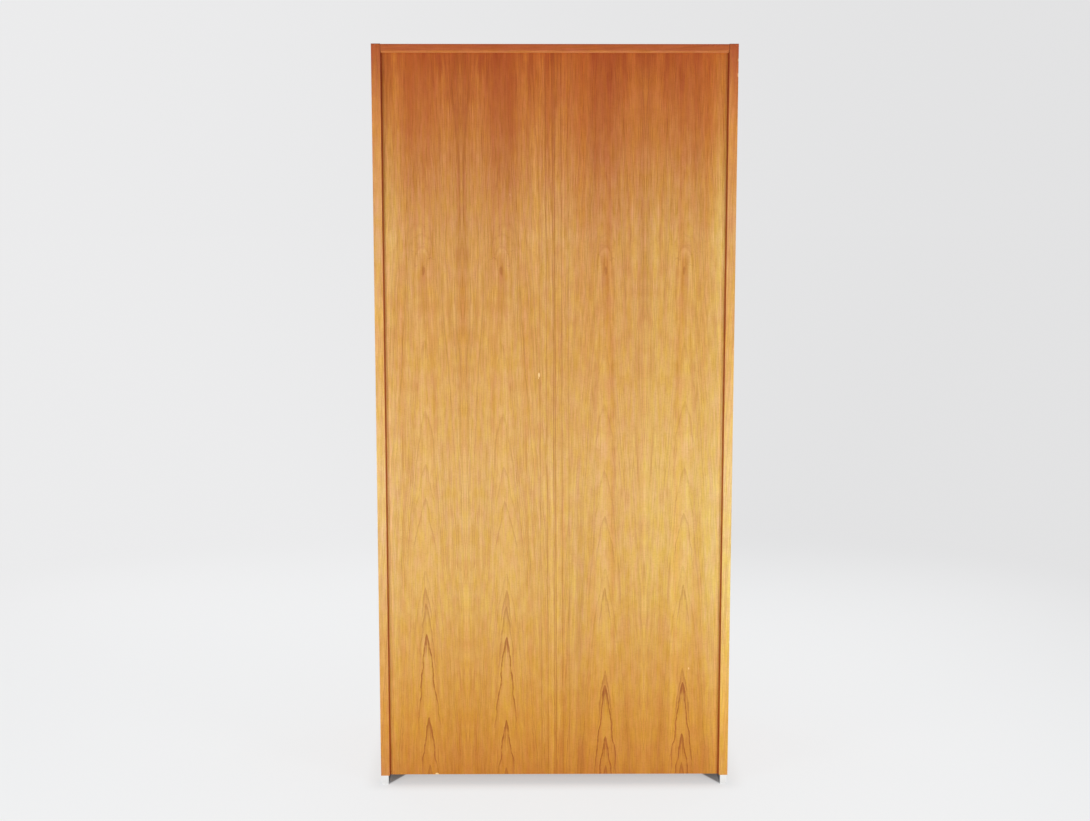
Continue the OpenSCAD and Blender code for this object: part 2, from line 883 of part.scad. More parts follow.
// Core of a door between its lippings, with the holes that both doors share
module door_core() {
    difference() {
        block([door_x + door_lip, y_face, door_z + door_lip],
              [meet_x - door_lip, y_door_back, door_z + door_h - door_lip]);
        at_leaf_screws(1) screw_hole();
        pull_screw_set(screw_play);
        at_strike_screws() screw_hole();
    }
}

// Lippings round a door, the long ones over the ends of the short ones
module door_lippings() {
    difference() {
        union() {
            translate([0, 0, door_z]) linear_extrude(door_h)
                intersection() {
                    eased([door_x, y_face], [meet_x, y_door_back]);
                    for (x = [door_x, meet_x - door_lip])
                        translate([x, y_face - cut]) square([door_lip, door_t + 2 * cut]);
                }
            for (z = [door_z, door_z + door_h - door_lip])
                block([door_x + door_lip + butt_gap, y_face, z],
                      [meet_x - door_lip - butt_gap, y_door_back, z + door_lip]);
        }
        leaf_seats(1);
        at_leaf_screws(1) screw_hole();
    }
}

// Room for the striker plate and the thrown bolt in the left door's meeting edge
module striker_mortise() {
    translate([meet_x, lock_mid_y, key_z]) {
        block([-mortise_depth, -bolt_t / 2 - mortise_play, bolt_z0 - mortise_play],
              [cut, bolt_t / 2 + mortise_play, bolt_z0 + bolt_h + mortise_play]);
        block([-selvedge_t - recess_play, -selvedge_w / 2 - recess_play, selvedge_z0 - recess_play],
              [cut, lock_t / 2 + cut, selvedge_z1 + recess_play]);
    }
}

// Room for the lock, cut in from the back of the right door, and for the key
module lock_mortise() {
    translate([lock_x0, lock_mid_y, key_z]) {
        block([-cut, -lock_t / 2 - recess_play, -lock_below - recess_play],
              [lock_l + recess_play, lock_t / 2 + cut, lock_above + recess_play]);
        block([-cut, -selvedge_w / 2 - recess_play, selvedge_z0 - recess_play],
              [selvedge_t + recess_play, lock_t / 2 + cut, selvedge_z1 + recess_play]);
    }
    translate([key_x, y_face - cut, key_z]) rotate([-90, 0, 0]) {
        cylinder(h = door_t, r = key_r + 1);
        translate([-bit_w / 2 - 0.6, 0, 0]) cube([bit_w + 1.2, bit_reach + 0.8, door_t]);
    }
}

module door_left() {
    color(teak) difference() {
        door_core();
        striker_mortise();
        at_striker_screws() screw_hole();
        at_rod_plate_screws() screw_hole();
    }
}

module door_left_lippings() {
    color(teak_solid) difference() {
        door_lippings();
        striker_mortise();
        at_striker_screws() screw_hole();
    }
}

module door_right() {
    color(teak) difference() {
        on_right() door_core();
        lock_mortise();
        at_selvedge_screws() screw_hole();
    }
}

module door_right_lippings() {
    color(teak_solid) difference() {
        on_right() door_lippings();
        lock_mortise();
        at_selvedge_screws() screw_hole();
    }
}

// Boat-shaped pull that stands on the plane y = 0: its outline from the front, its crowned nose from the
// side and its section, waisted for the fingers, cut it out together
module pull() {
    taper = (pull_w - pull_end_w) / 2;
    outline_r = (pow(pull_l / 2, 2) + pow(taper, 2)) / (2 * taper);
    crown_r = 3.2 * pull_l;
    flank_r = 0.55 * pull_h;
    difference() {
        intersection() {
            translate([0, cut, 0]) rotate([90, 0, 0]) linear_extrude(pull_h + 2 * cut) intersection() {
                translate([outline_r - pull_w / 2, 0]) circle(outline_r, $fn = 180);
                translate([pull_w / 2 - outline_r, 0]) circle(outline_r, $fn = 180);
                square([pull_w, pull_l], center = true);
            }
            translate([-pull_w, 0, 0]) rotate([0, 90, 0]) linear_extrude(2 * pull_w)
                translate([0, crown_r - pull_h]) circle(crown_r, $fn = 360);
            translate([0, 0, -pull_l]) linear_extrude(2 * pull_l) difference() {
                translate([-pull_w, -pull_h - cut]) square([2 * pull_w, pull_h + cut]);
                for (s = [-1, 1])
                    translate([s * (pull_waist / 2 + flank_r), -0.42 * pull_h]) circle(flank_r, $fn = 64);
            }
        }
        for (s = [-1, 1]) translate([0, cut, s * pull_screw_span / 2]) rotate([90, 0, 0])
            cylinder(h = cut + pull_screw_depth + 1, r = pull_screw_r + screw_play);
    }
}

module pull_left() {
    color(teak_solid) translate([pull_x, y_face, pull_mid_z]) pull();
}

module pull_right() {
    color(teak_solid) on_right() translate([pull_x, y_face, pull_mid_z]) pull();
}

module pull_screws_left() {
    color(steel) pull_screw_set();
}

module pull_screws_right() {
    color(steel) on_right() pull_screw_set();
}

module door_screws_left() {
    color(brass) {
        at_leaf_screws(1) wood_screw();
        at_strike_screws() wood_screw();
        at_rod_plate_screws() wood_screw();
        at_striker_screws() wood_screw();
    }
}

module door_screws_right() {
    color(brass) {
        on_right() at_leaf_screws(1) wood_screw();
        on_right() at_strike_screws() wood_screw();
        at_selvedge_screws() wood_screw();
    }
}

module catch_strike() {
    difference() {
        translate([-catch_x, y_door_back, strike_z]) rotate([-90, 0, 0]) linear_extrude(strike_t)
            eased([-strike_l / 2, -strike_h], [strike_l / 2, 0], 2);
        at_strike_screws() screw_hole();
    }
}

module catch_strike_left() {
    color(steel) catch_strike();
}

module catch_strike_right() {
    color(steel) on_right() catch_strike();
}

// ---------- lock, key and striker ----------

module striker_plate() {
    color(brass) difference() {
        translate([meet_x, lock_mid_y, key_z]) difference() {
            block([-selvedge_t, -selvedge_w / 2, selvedge_z0], [0, lock_t / 2, selvedge_z1]);
            block([-selvedge_t - cut, -bolt_t / 2 - mortise_play, bolt_z0 - mortise_play],
                  [cut, bolt_t / 2 + mortise_play, bolt_z0 + bolt_h + mortise_play]);
        }
        at_striker_screws() screw_hole();
    }
}

// Open box with the bolt's channel and the key's chamber, behind the selvedge in the door's edge
module lock_case() {
    color(brass) difference() {
        translate([lock_x0, lock_mid_y, key_z]) difference() {
            union() {
                block([0, -lock_t / 2, -lock_below], [lock_l, lock_t / 2 - lock_wall, lock_above]);
                block([0, -selvedge_w / 2, selvedge_z0], [selvedge_t, lock_t / 2, selvedge_z1]);
            }
            // channel of the bolt, open through the selvedge
            block([-cut, -bolt_slot_y / 2, bolt_z0 - bolt_play],
                  [lock_l - lock_wall, bolt_slot_y / 2, bolt_z0 + bolt_h + bolt_play]);
            block([selvedge_t + 1, -bolt_slot_y / 2, bolt_z0 - bolt_play],
                  [lock_l - lock_wall, lock_t, bolt_z0 + bolt_h + bolt_play]);
            // chamber in which the bit turns
            translate([backset, -lock_inner_t / 2, 0]) rotate([-90, 0, 0])
                cylinder(h = lock_t, r = bit_reach + 0.8);
            // keyhole
            translate([backset, -lock_t, 0]) rotate([-90, 0, 0]) {
                cylinder(h = lock_t, r = key_r + 0.3);
                translate([-bit_w / 2 - 0.3, 0, 0]) cube([bit_w + 0.6, bit_reach + 0.5, lock_t]);
            }
        }
        at_selvedge_screws() screw_hole();
    }
}

module lock_cover() {
    color(brass) translate([lock_x0, lock_mid_y, key_z])
        block([selvedge_t + 0.1, lock_t / 2 - lock_wall, -lock_below], [lock_l, lock_t / 2, lock_above]);
}

// Bolt with the notch that the bit moves it by
module lock_bolt() {
    color(brass) translate([lock_x0, lock_mid_y, key_z]) difference() {
        block([0.2, -bolt_t / 2, bolt_z0], [bolt_l, bolt_t / 2, bolt_z0 + bolt_h]);
        block([backset + bolt_throw / 2 - notch_w / 2, -bolt_t, bolt_z0 - cut],
              [backset + bolt_throw / 2 + notch_w / 2, bolt_t, bit_reach + 0.6]);
    }
}

module escutcheon() {
    color(brass) translate([key_x, y_face, key_z]) rotate([90, 0, 0]) linear_extrude(1) difference() {
        union() {
            for (z = [-8, 4]) translate([0, z]) circle(7);
            translate([-7, -8]) square([14, 12]);
        }
        circle(key_r + 0.5);
        translate([-bit_w / 2 - 0.4, -bit_reach - 0.6]) square([bit_w + 0.8, bit_reach]);
    }
}

// Key at rest: half of its turn away from the place where its bit points straight up
module key() {
    tip_y = y_door_back - lock_wall - 0.4;
    color(brass) translate([key_x, 0, key_z]) rotate([0, key_turn / 2, 0]) {
        translate([0, bow_y + bow_r - 1.5, 0]) rotate([-90, 0, 0])
            cylinder(h = tip_y - bow_y - bow_r + 1.5, r = key_r);
        translate([0, y_face - 3.2, 0]) rotate([-90, 0, 0]) cylinder(h = 1.8, r = key_r + 1.2);
        // bow: an oval ring in the plane of the bit
        along_x(-bow_t / 2, bow_t) difference() {
            bow_oval(bow_r);
            bow_oval(bow_r - 3);
        }
        block([-bit_w / 2, lock_mid_y - bolt_t / 2, 0], [bit_w / 2, lock_mid_y + bolt_t / 2, bit_reach]);
    }
}

module bow_oval(r) {
    for (s = [-1, 1]) translate([bow_y, s * bow_half]) circle(r);
    translate([bow_y - r, -bow_half]) square([2 * r, 2 * bow_half]);
}

// ---------- top bolt of the left door ----------

module top_bolt_plate() {
    color(brass) difference() {
        union() {
            translate([rod_x, y_door_back, rod_plate_z]) rotate([-90, 0, 0]) linear_extrude(rod_plate_t)
                eased([-rod_plate_w / 2, -rod_plate_h], [rod_plate_w / 2, 0], 2);
            for (z = [0, rod_plate_h - guide_h]) translate([rod_x, 0, rod_plate_z + z]) linear_extrude(guide_h)
                eased([-guide_w / 2, y_door_back], [guide_w / 2, rod_y + rod_r + 2.5], rod_plate_t * 0.9);
        }
        translate([rod_x, rod_y, rod_plate_z - cut])
            cylinder(h = rod_plate_h + 2 * cut, r = rod_r + guide_play);
        at_rod_plate_screws() screw_hole();
    }
}

module top_bolt_rod() {
    color(steel) {
        translate([rod_x, rod_y, rod_top - rod_l]) cylinder(h = rod_l, r = rod_r);
        translate([rod_x, rod_y, rod_top - rod_l / 2]) rotate([-90, 0, 0]) {
            cylinder(h = knob_l, r = rod_r * 0.7);
            translate([0, 0, knob_l]) sphere(knob_r);
        }
    }
}

side_left();
side_right();
side_left_lippings();
side_right_lippings();
top_board();
top_lippings();
bottom_board();
bottom_lipping();
partition();
partition_lipping();
back_panel();
case_dowels();
runner_left();
runner_right();
runner_screws();
hat_shelf();
shelf_1();
shelf_2();
shelf_3();
shelf_4();
shelf_lippings();
shelf_pins();
clothes_rail();
rail_socket_left();
rail_socket_right();
hinge_case_leaves_left();
hinge_case_leaves_right();
hinge_pins_left();
hinge_pins_right();
case_screws();
catch_bodies();
catch_magnets();
bolt_keep();
door_left();
door_left_lippings();
pull_left();
pull_screws_left();
hinge_door_leaves_left();
door_screws_left();
catch_strike_left();
striker_plate();
top_bolt_plate();
top_bolt_rod();
door_right();
door_right_lippings();
pull_right();
pull_screws_right();
hinge_door_leaves_right();
door_screws_right();
catch_strike_right();
lock_case();
lock_cover();
escutcheon();
lock_bolt();
key();
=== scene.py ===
import json
import math

import bmesh
import bpy
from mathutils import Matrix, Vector

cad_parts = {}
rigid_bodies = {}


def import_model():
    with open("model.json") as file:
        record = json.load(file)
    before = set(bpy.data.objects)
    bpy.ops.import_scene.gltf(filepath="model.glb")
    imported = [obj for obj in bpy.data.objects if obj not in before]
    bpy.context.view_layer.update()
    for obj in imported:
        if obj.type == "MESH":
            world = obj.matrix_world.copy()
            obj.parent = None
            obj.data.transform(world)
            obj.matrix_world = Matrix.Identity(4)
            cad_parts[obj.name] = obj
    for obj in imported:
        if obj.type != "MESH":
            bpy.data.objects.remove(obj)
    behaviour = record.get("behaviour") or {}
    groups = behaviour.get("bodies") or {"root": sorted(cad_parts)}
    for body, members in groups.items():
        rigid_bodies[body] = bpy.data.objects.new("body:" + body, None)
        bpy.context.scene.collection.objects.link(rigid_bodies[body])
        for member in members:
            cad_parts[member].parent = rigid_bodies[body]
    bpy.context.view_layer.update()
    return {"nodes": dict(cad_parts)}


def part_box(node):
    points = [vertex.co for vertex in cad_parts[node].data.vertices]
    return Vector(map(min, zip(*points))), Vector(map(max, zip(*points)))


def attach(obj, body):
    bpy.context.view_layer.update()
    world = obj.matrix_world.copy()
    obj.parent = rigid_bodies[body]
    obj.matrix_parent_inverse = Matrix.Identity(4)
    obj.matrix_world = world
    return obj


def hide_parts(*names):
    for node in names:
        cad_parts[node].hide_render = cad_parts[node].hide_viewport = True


for leftover in list(bpy.data.objects):
    bpy.data.objects.remove(leftover)
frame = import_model()
nodes = frame["nodes"]


# --- Back panel ---------------------------------------------------------------------------------
# The 12 mm back is one board, let into grooves in the sides, and finished as a fourth front: four
# crown-cut teak leaves, book-matched about three joints, oiled to a satin sheen. The joints lean a
# little, and the two leaves on each side of the middle come from different sheets of the flitch.

inner_x = -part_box("side_left")[1].x * 1000
case_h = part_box("side_left")[1].z * 1000
back_front, back_rear = (corner.y * 1000 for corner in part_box("back_panel"))


class Wire:
    """An output of a node: arithmetic on it adds Math nodes to its tree."""

    def __init__(self, owner, socket):
        self.owner, self.socket = owner, socket

    def math(self, operation, *others):
        operands = dict(enumerate((self, *others)))
        return self.owner.node("ShaderNodeMath", {"operation": operation}, operands)

    def swapped(self, operation, first):
        return self.owner.node("ShaderNodeMath", {"operation": operation}, {0: first, 1: self})

    def __add__(self, other):
        return self.math("ADD", other)

    def __sub__(self, other):
        return self.math("SUBTRACT", other)

    def __rsub__(self, other):
        return self.swapped("SUBTRACT", other)

    def __mul__(self, other):
        return self.math("MULTIPLY", other)

    def __truediv__(self, other):
        return self.math("DIVIDE", other)

    def __pow__(self, other):
        return self.math("POWER", other)

    def __abs__(self):
        return self.math("ABSOLUTE")

    __radd__, __rmul__ = __add__, __mul__

    def ramp(self, low, high):
        """0 below low, 1 above high, and a smooth step between them; low may be above high."""
        return self.owner.node("ShaderNodeMapRange", {"interpolation_type": "SMOOTHSTEP"},
                               {"Value": self, "From Min": low, "From Max": high})

    def other(self, name):
        """Another output of the same node."""
        return Wire(self.owner, self.socket.node.outputs[name])


class Tree:
    """A node tree under construction."""

    def __init__(self, tree):
        self.tree = tree
        tree.nodes.clear()

    def node(self, kind, settings=None, sockets=None, output=0):
        """Adds a node: its settings first, then the values or links of its sockets."""
        made = self.tree.nodes.new(kind)
        for key, value in (settings or {}).items():
            if key == "stops":
                band = made.color_ramp.elements
                while len(band) < len(value):
                    band.new(1)
                for element, (place, colour) in zip(band, value):
                    element.position, element.color = place, (*colour, 1)
            else:
                setattr(made, key, value)
        for key, value in (sockets or {}).items():
            if isinstance(value, Wire):
                self.tree.links.new(value.socket, made.inputs[key])
            else:
                made.inputs[key].default_value = value
        return Wire(self, made.outputs[output]) if made.outputs else None


class Finish(Tree):
    """A material under construction. Lengths in its maths are in millimetres."""

    def __init__(self, name):
        self.material = bpy.data.materials.new(name)
        self.material.use_nodes = True
        super().__init__(self.material.node_tree)

    def place(self):
        """The point in the object's frame, as three numbers in millimetres."""
        metres = self.node("ShaderNodeTexCoord", output="Object")
        point = self.node("ShaderNodeVectorMath", {"operation": "SCALE"}, {0: metres, "Scale": 1000})
        parts = self.node("ShaderNodeSeparateXYZ", None, {0: point})
        return parts, parts.other("Y"), parts.other("Z")

    def noise(self, a, b, c=0.0, detail=2.0, roughness=0.5):
        """Smooth noise from -1 to 1 that varies by about one unit of a, b and c."""
        point = self.node("ShaderNodeCombineXYZ", None, {0: a, 1: b, 2: c})
        grey = self.node("ShaderNodeTexNoise", None,
                         {"Vector": point, "Scale": 1.0, "Detail": detail, "Roughness": roughness})
        return grey * 2 - 1

    def mix(self, share, under, over):
        """The colour under, with a share of the colour over laid on it."""
        return self.node("ShaderNodeMix", {"data_type": "RGBA"}, {0: share, 6: under, 7: over}, 2)

    def tint(self, share, under, red, green, blue):
        """The colour under, its red, green and blue multiplied where share is 1."""
        return self.node("ShaderNodeMix", {"data_type": "RGBA", "blend_type": "MULTIPLY"},
                         {0: share, 6: under, 7: (red, green, blue, 1)}, 2)

    def bump(self, height, distance):
        return self.node("ShaderNodeBump", None,
                         {"Strength": 1.0, "Distance": distance, "Height": height})

    def surface(self, **sockets):
        """Ends the finish in one Principled surface and returns the material."""
        values = {key.replace("_", " "): value for key, value in sockets.items()}
        shader = self.node("ShaderNodeBsdfPrincipled", None, values)
        self.node("ShaderNodeOutputMaterial", None, {"Surface": shader})
        return self.material


SPREAD = 0.675


def slope(heart, crown):
    """How much longer a step along a ring's curve is than the same step across the grain."""
    return ((2 * SPREAD * crown) ** 2 * heart ** (4 * SPREAD - 2) + 1) ** 0.5


def teak_figure(finish, tone, across, along, depth, seed, crown, tips=0.0, kinks=3.0, vivid=0.8):
    """Teak's colour and height from leaf coordinates: across the grain from the heart line,
    along the grain, and into the wood. crown is how far an arch drops as it spreads, tips how
    plainly the rings close over the heart line, kinks how far their legs stray, and vivid how
    plainly the streaks show."""
    sway = finish.noise(across / 60, along / 110, seed, 1) * 4
    drift = finish.noise(seed, along / 420, 0.7, 1) * 9
    kink = finish.noise(across / 11, along / 30, seed + 2, 2, 0.6) * kinks
    off_heart = across + sway + drift + kink
    heart = abs(off_heart)
    spread = (heart * heart + depth * depth + 6) ** SPREAD
    ring = along + spread * crown

    # Broad bands and then ever finer streaks, golden or russet, all along the grain
    for width, length, gold, russet in (
            (34, 1100, (1.02, 1.06, 1.12), (0.965, 0.88, 0.80)),
            (11, 500, (1.015, 1.035, 1.08), (0.985, 0.94, 0.87)),
            (4.0, 260, (1.02, 1.03, 1.09), (0.965, 0.93, 0.84)),
            (1.6, 70, (1.06, 1.10, 1.33), (0.84, 0.78, 0.53))):
        streak = finish.noise((across + sway * 0.6 + kink * 0.25) / width, along / length,
                              seed + width + depth / width, 2, 0.6)
        tone = finish.tint(streak.ramp(0.0, 0.42) * vivid, tone, *gold)
        tone = finish.tint(streak.ramp(0.0, -0.42) * vivid, tone, *russet)
    cloud = finish.noise(across / 19, along / 42, seed + 5, 1)
    tone = finish.tint(cloud.ramp(-0.35, 0.35), tone, 0.955, 0.91, 0.80)
    patch = finish.noise(across / 9, along / 60, seed + 11, 1)
    tone = finish.tint(patch.ramp(0.0, 0.35), tone, 1.01, 1.04, 0.82)
    tone = finish.tint(patch.ramp(0.0, -0.35), tone, 1.0, 0.955, 1.12)
    ripple = finish.noise(across / 8, along / 3.2, seed + 8, 1)
    tone = finish.tint(ripple.ramp(-0.1, 0.4), tone, 0.95, 0.94, 0.88)

    # Growth rings: a fine late-wood line at the outside of each, some strong and some hardly there
    steep = slope(heart, crown)
    for width, share in ((74, 0.34), (27, 0.20)):
        count = ring / width + finish.noise(ring / 240, seed, 0.3, 1) * 0.8
        late = (1 - count.math("FRACT")) * width / steep
        strength = finish.noise(count.math("FLOOR") * 0.61, along / 500, seed, 0).ramp(-0.25, 0.45)
        line = late.ramp(1.9, 0.3) + late.ramp(8, 0) * 0.25
        shown = line * strength * (heart.ramp(4, 34) * (1 - tips) + tips)
        tone = finish.tint(shown * share, tone, 0.62, 0.48, 0.40)

    # Open pores: short dark dashes a third of a millimetre wide
    pores = finish.noise(across / 0.42, along / 9, depth / 0.42 + seed, 1).ramp(0.22, 0.62)
    fibre = finish.noise(across / 1.3, along / 120, depth / 1.3 + seed, 2)
    tone = finish.tint(pores * 0.45, tone, 0.62, 0.50, 0.45)
    tone = finish.tint(fibre.ramp(-0.1, 0.9) * 0.5, tone, 0.86, 0.78, 0.72)
    return tone, off_heart, fibre * 0.35 - pores


def teak_surface(finish, tone, relief, gloss):
    """Oiled teak: a soft sheen, duller in the pores."""
    return finish.surface(Base_Color=tone, Roughness=gloss - relief * 0.05,
                          Normal=finish.bump(relief, 0.00006), Specular_IOR_Level=0.30)


def arch(finish, tone, off_heart, along, tip, crown, share, run):
    """Lays one strong late-wood arch on the tone: a dark line with a soft inner side, a smudge
    under its tip, and legs that stray, break up and fade down the leaf."""
    stray = finish.noise(along / 52, off_heart.math("SIGN") * 1.7 + tip * 0.013, share, 1)
    heart = abs(off_heart)
    heart = heart + stray * heart.ramp(2, 16) * 7
    inside = (tip - along - (heart * heart + 6) ** SPREAD * crown) / slope(heart, crown)
    line = inside.ramp(-1.0, 0.2) * inside.ramp(3.4, 1.5) + inside.ramp(-0.5, 0.5) * inside.ramp(12, 1) * 0.25
    smudge = inside.ramp(-0.5, 1) * inside.ramp(14, 3) * heart.ramp(8, 1) * 0.75
    patchy = finish.noise(along / 17, tip * 0.37, share, 1).ramp(-0.6, 0.1) * 0.55 + 0.45
    leg = (along - tip).ramp(-run, -0.45 * run)
    return finish.tint((line + smudge).math("MINIMUM", 1) * patchy * leg * share, tone, 0.54, 0.32, 0.26)


def back_veneer():
    finish = Finish("teak_back_veneer")
    leaf_w, middle, lean, heart_share, crown = 242.0, 0.5, 0.0050, 0.563, 2.6
    x, y, z = finish.place()
    aside = x - middle - (z - 1000) * lean
    count = abs(aside) / leaf_w
    local = (count.math("PINGPONG", 1.0) - heart_share) * leaf_w
    far_pair = aside.math("LESS_THAN", 0.0)
    outer = count.math("GREATER_THAN", 1.0)

    # Tone up the height: darker and redder at the top and the bottom, palest a little below the middle. This
    # is partly the wood's own colour and partly painted light and shade: painted shade at the top and bottom,
    # and a painted sheen in the middle.
    tone = finish.node("ShaderNodeValToRGB", {"stops": [
        (0.0, (0.581, 0.229, 0.033)), (0.09, (0.651, 0.314, 0.049)), (0.26, (0.715, 0.429, 0.124)),
        (0.42, (0.729, 0.440, 0.147)), (0.60, (0.680, 0.366, 0.099)), (0.75, (0.679, 0.351, 0.105)),
        (0.9, (0.580, 0.197, 0.039)), (1.0, (0.530, 0.129, 0.015))]},
        {0: z / case_h})
    inside_face = y.ramp((back_front + back_rear) / 2, back_front + 5)
    tone = finish.mix(inside_face, tone, (0.610, 0.265, 0.060, 1))
    seed = far_pair * 6.7 + outer * 0.05
    kinks = z.ramp(560, 260) * 1.3 + 2.2
    vivid = z.ramp(700, 1900) * 0.65 + 0.72
    tone, off_heart, relief = teak_figure(finish, tone, local, z, 6.0, seed, crown,
                                          kinks=kinks, vivid=vivid)
    heart = abs(off_heart)

    # Dark and pale bands that the book-match repeats on each side of a joint: place, half width,
    # how strong, how dark, and the heights between which a band comes in
    for place, half, share, shade, low, high in (
            (93, 15, 0.35, 0.76, 700, 1500), (97, 30, 0.25, 0.74, 1150, 1850), (104, 3, 0.5, 1.16, 0, 1),
            (-128, 4, 0.5, 1.12, 0, 1), (-134, 2.5, 1.0, 0.62, 0, 1), (-34, 16, 0.3, 0.80, 300, 1300),
            (52, 9, 0.4, 0.82, 900, 1500), (-82, 22, 0.4, 0.80, 1300, 1800), (-116, 2.0, 0.9, 0.66, 0, 1),
            (-110, 2.5, 0.9, 1.18, 900, 1300), (-98, 2.0, 0.8, 0.72, 0, 1), (24, 7, 0.2, 0.84, 1400, 700),
            (66, 34, 0.5, 0.84, 650, 250), (101, 6, 0.5, 1.14, 900, 600), (101, 9, 0.45, 0.76, 1000, 1500)):
        band = (1 - abs(local - place) / half).ramp(0, 1) * z.ramp(low, high)
        tone = finish.tint(band * share, tone, shade ** 0.6, shade, shade ** 1.3)

    # The leaf at the -X end is a little more golden than the other three
    golden = outer * far_pair * z.ramp(350, 700) * z.ramp(1900, 1650)
    tone = finish.tint(golden, tone, 1.03, 1.10, 1.06)

    # Streaks of one leaf only, which the match doesn't repeat
    for place, half, shade, low, high in ((49, 16, 1.22, 1250, 1650), (-70, 16, 0.84, 950, 700),
                                          (-326, 14, 1.14, 1000, 800), (2, 18, 1.09, 1100, 800)):
        streak = abs(x - place).ramp(half, half * 0.3) * z.ramp(low, high)
        tone = finish.tint(streak, tone, shade ** 0.6, shade, shade)

    # The leaves turn red-brown over their heart lines towards the top, the inner pair most, and
    # flames of the same colour come down from the top end of the sheets
    glow = abs(local).ramp(58, 12) * z.ramp(1150, 1950) * (1 - outer * 0.4)
    tone = finish.tint(glow, tone, 0.82, 0.66, 0.66)
    flame = finish.noise(local / 24, z / 260, seed + 40, 3, 0.55) + (z - 1900) / 520
    tone = finish.tint(flame.ramp(-0.05, 0.4) * 0.75, tone, 0.80, 0.60, 0.52)

    # The curl at three quarters of the height: a pale hairpin round a brown core, brown legs that
    # fan out below it, and the rings and threads of the disturbed grain above and beside it
    wave = finish.noise(local / 9, z / 60, seed + 50, 2) * 9
    above = (z - 1440).math("MAXIMUM", 0) * 0.55
    reach = (heart * heart + above * above) ** 0.5
    core = heart.ramp(10, 4) * (z + wave * 3).ramp(1190, 1380) * z.ramp(1460, 1436)
    tone = finish.tint(core * 0.6, tone, 0.84, 0.68, 0.58)
    hook = ((off_heart - 3 + wave * 0.3) / 4.5) ** 2 + ((z - 1412) / 13) ** 2
    tone = finish.tint(hook.ramp(1.3, 0.3) * 0.5, tone, 0.64, 0.46, 0.38)
    limb = reach + wave * 0.35 - z.ramp(1464, 1280) * 4 - 14
    tone = finish.tint(abs(limb).ramp(4.5, 0.8) * z.ramp(1180, 1330) * 0.48, tone, 1.10, 1.20, 1.34)
    tone = finish.tint(abs(limb - 5.5).ramp(3.0, 0.6) * z.ramp(1180, 1330) * 0.25, tone, 0.80, 0.64, 0.56)
    fan = abs(heart - (1440 - z) * 0.055 - 4).ramp(9, 1) * z.ramp(940, 1120) * z.ramp(1450, 1400)
    tone = finish.tint(fan * 0.45, tone, 0.88, 0.74, 0.64)
    for radius, share in ((25, 0.14), (37, 0.18), (52, 0.10)):
        curl = abs(reach + wave * 1.1 - radius).ramp(2.6, 0.4) * z.ramp(1466, 1480)
        tone = finish.tint(curl * share, tone, 0.72, 0.56, 0.48)
    for level, length, slant in ((1452, 46, 0.35), (1434, 30, -0.5)):
        thread = abs(z + wave * 2.2 + local * slant - level).ramp(1.7, 0.5) * heart.ramp(length, length * 0.5)
        tone = finish.tint(thread * heart.ramp(8, 16) * 0.35, tone, 0.66, 0.50, 0.44)

    # Strong arches low on the leaves, and fainter ones above: their tips on each pair of leaves
    for near_tip, far_tip, arch_crown, share, run in (
            (52, 58, 2.6, 0.55, 120), (187, 140, 2.5, 0.85, 200), (423, 286, 2.6, 0.90, 330),
            (508, 327, 2.6, 0.50, 220), (553, 560, 2.6, 0.45, 150), (597, 610, 1.7, 0.20, 300),
            (797, 755, 1.5, 0.32, 200), (890, 880, 1.5, 0.24, 180), (1035, 1060, 1.5, 0.22, 200),
            (1225, 1218, 2.0, 0.18, 160), (1700, 1676, 1.7, 0.12, 200)):
        tip = near_tip + far_pair * (far_tip - near_tip) + outer * 8
        tone = arch(finish, tone, off_heart, z, tip, arch_crown, share, run)

    # The sheets are paler towards the sides: painted light, a painted sheen and a lift against the shade the
    # sides cast. The corners against the sides are darkened with painted shade.
    near_side = abs(x).ramp(inner_x - 60, inner_x - 18)
    tone = finish.tint(near_side, tone, 1.03, 1.09, 1.22)
    tone = finish.tint(near_side * z.ramp(1250, 1600), tone, 1.07, 1.18, 1.05)
    tone = finish.tint(abs(x).ramp(inner_x - 20, inner_x - 7) * z.ramp(1700, 1400), tone, 1.16, 1.14, 1.18)
    # Painted shade: a dark line in the corners against the sides
    corner = (abs(x) + finish.noise(y, z / 30, 0.9, 1) * 0.4).ramp(inner_x - 4.3, inner_x - 1.9)
    tone = finish.tint(corner, tone, 0.58, 0.24, 0.10)

    # Small knocks that have laid bare pale wood: place across and up, half width and half height
    chipped = finish.noise(x / 2.1, z / 2.1, 0.5, 2) * 0.5
    for at_x, at_z, half_w, half_h, share in (
            (41.9, 1134.3, 2.2, 6.5, 0.95), (43.0, 1126.0, 1.4, 2.4, 0.7), (323.6, 26.5, 5.0, 3.0, 0.9),
            (-367.8, 325.2, 1.8, 3.2, 0.6), (118.0, 1611.0, 0.9, 3.0, 0.35), (-214.0, 689.0, 0.8, 4.5, 0.3)):
        off = ((x - at_x) / half_w) ** 2 + ((z - at_z) / half_h) ** 2 + chipped
        tone = finish.mix(off.ramp(1.15, 0.6) * share, tone, (0.93, 0.66, 0.30, 1))
    return teak_surface(finish, tone, relief, 0.47)


def dress(material, *names):
    """Gives CAD nodes their finish."""
    for name in names:
        slots = nodes[name].data.materials
        slots.clear()
        slots.append(material)


dress(back_veneer(), "back_panel")


# --- Sides, lippings and runners ----------------------------------------------------------------
# Each side is a 24 mm veneered board, three slip-matched leaves wide, closed front and rear by solid
# teak lippings with eased arrises. It stands on a square aluminium runner screwed on from below.

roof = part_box("top_board")[0].z * 1000
outer_x, rear_y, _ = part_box("side_right_lippings")[1] * 1000
runner_x = -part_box("runner_left")[1].x * 1000

TEAK = (0.660, 0.305, 0.070, 1)
INNER_TEAK = (0.610, 0.265, 0.060, 1)
SOLID_TEAK = (0.580, 0.240, 0.054, 1)


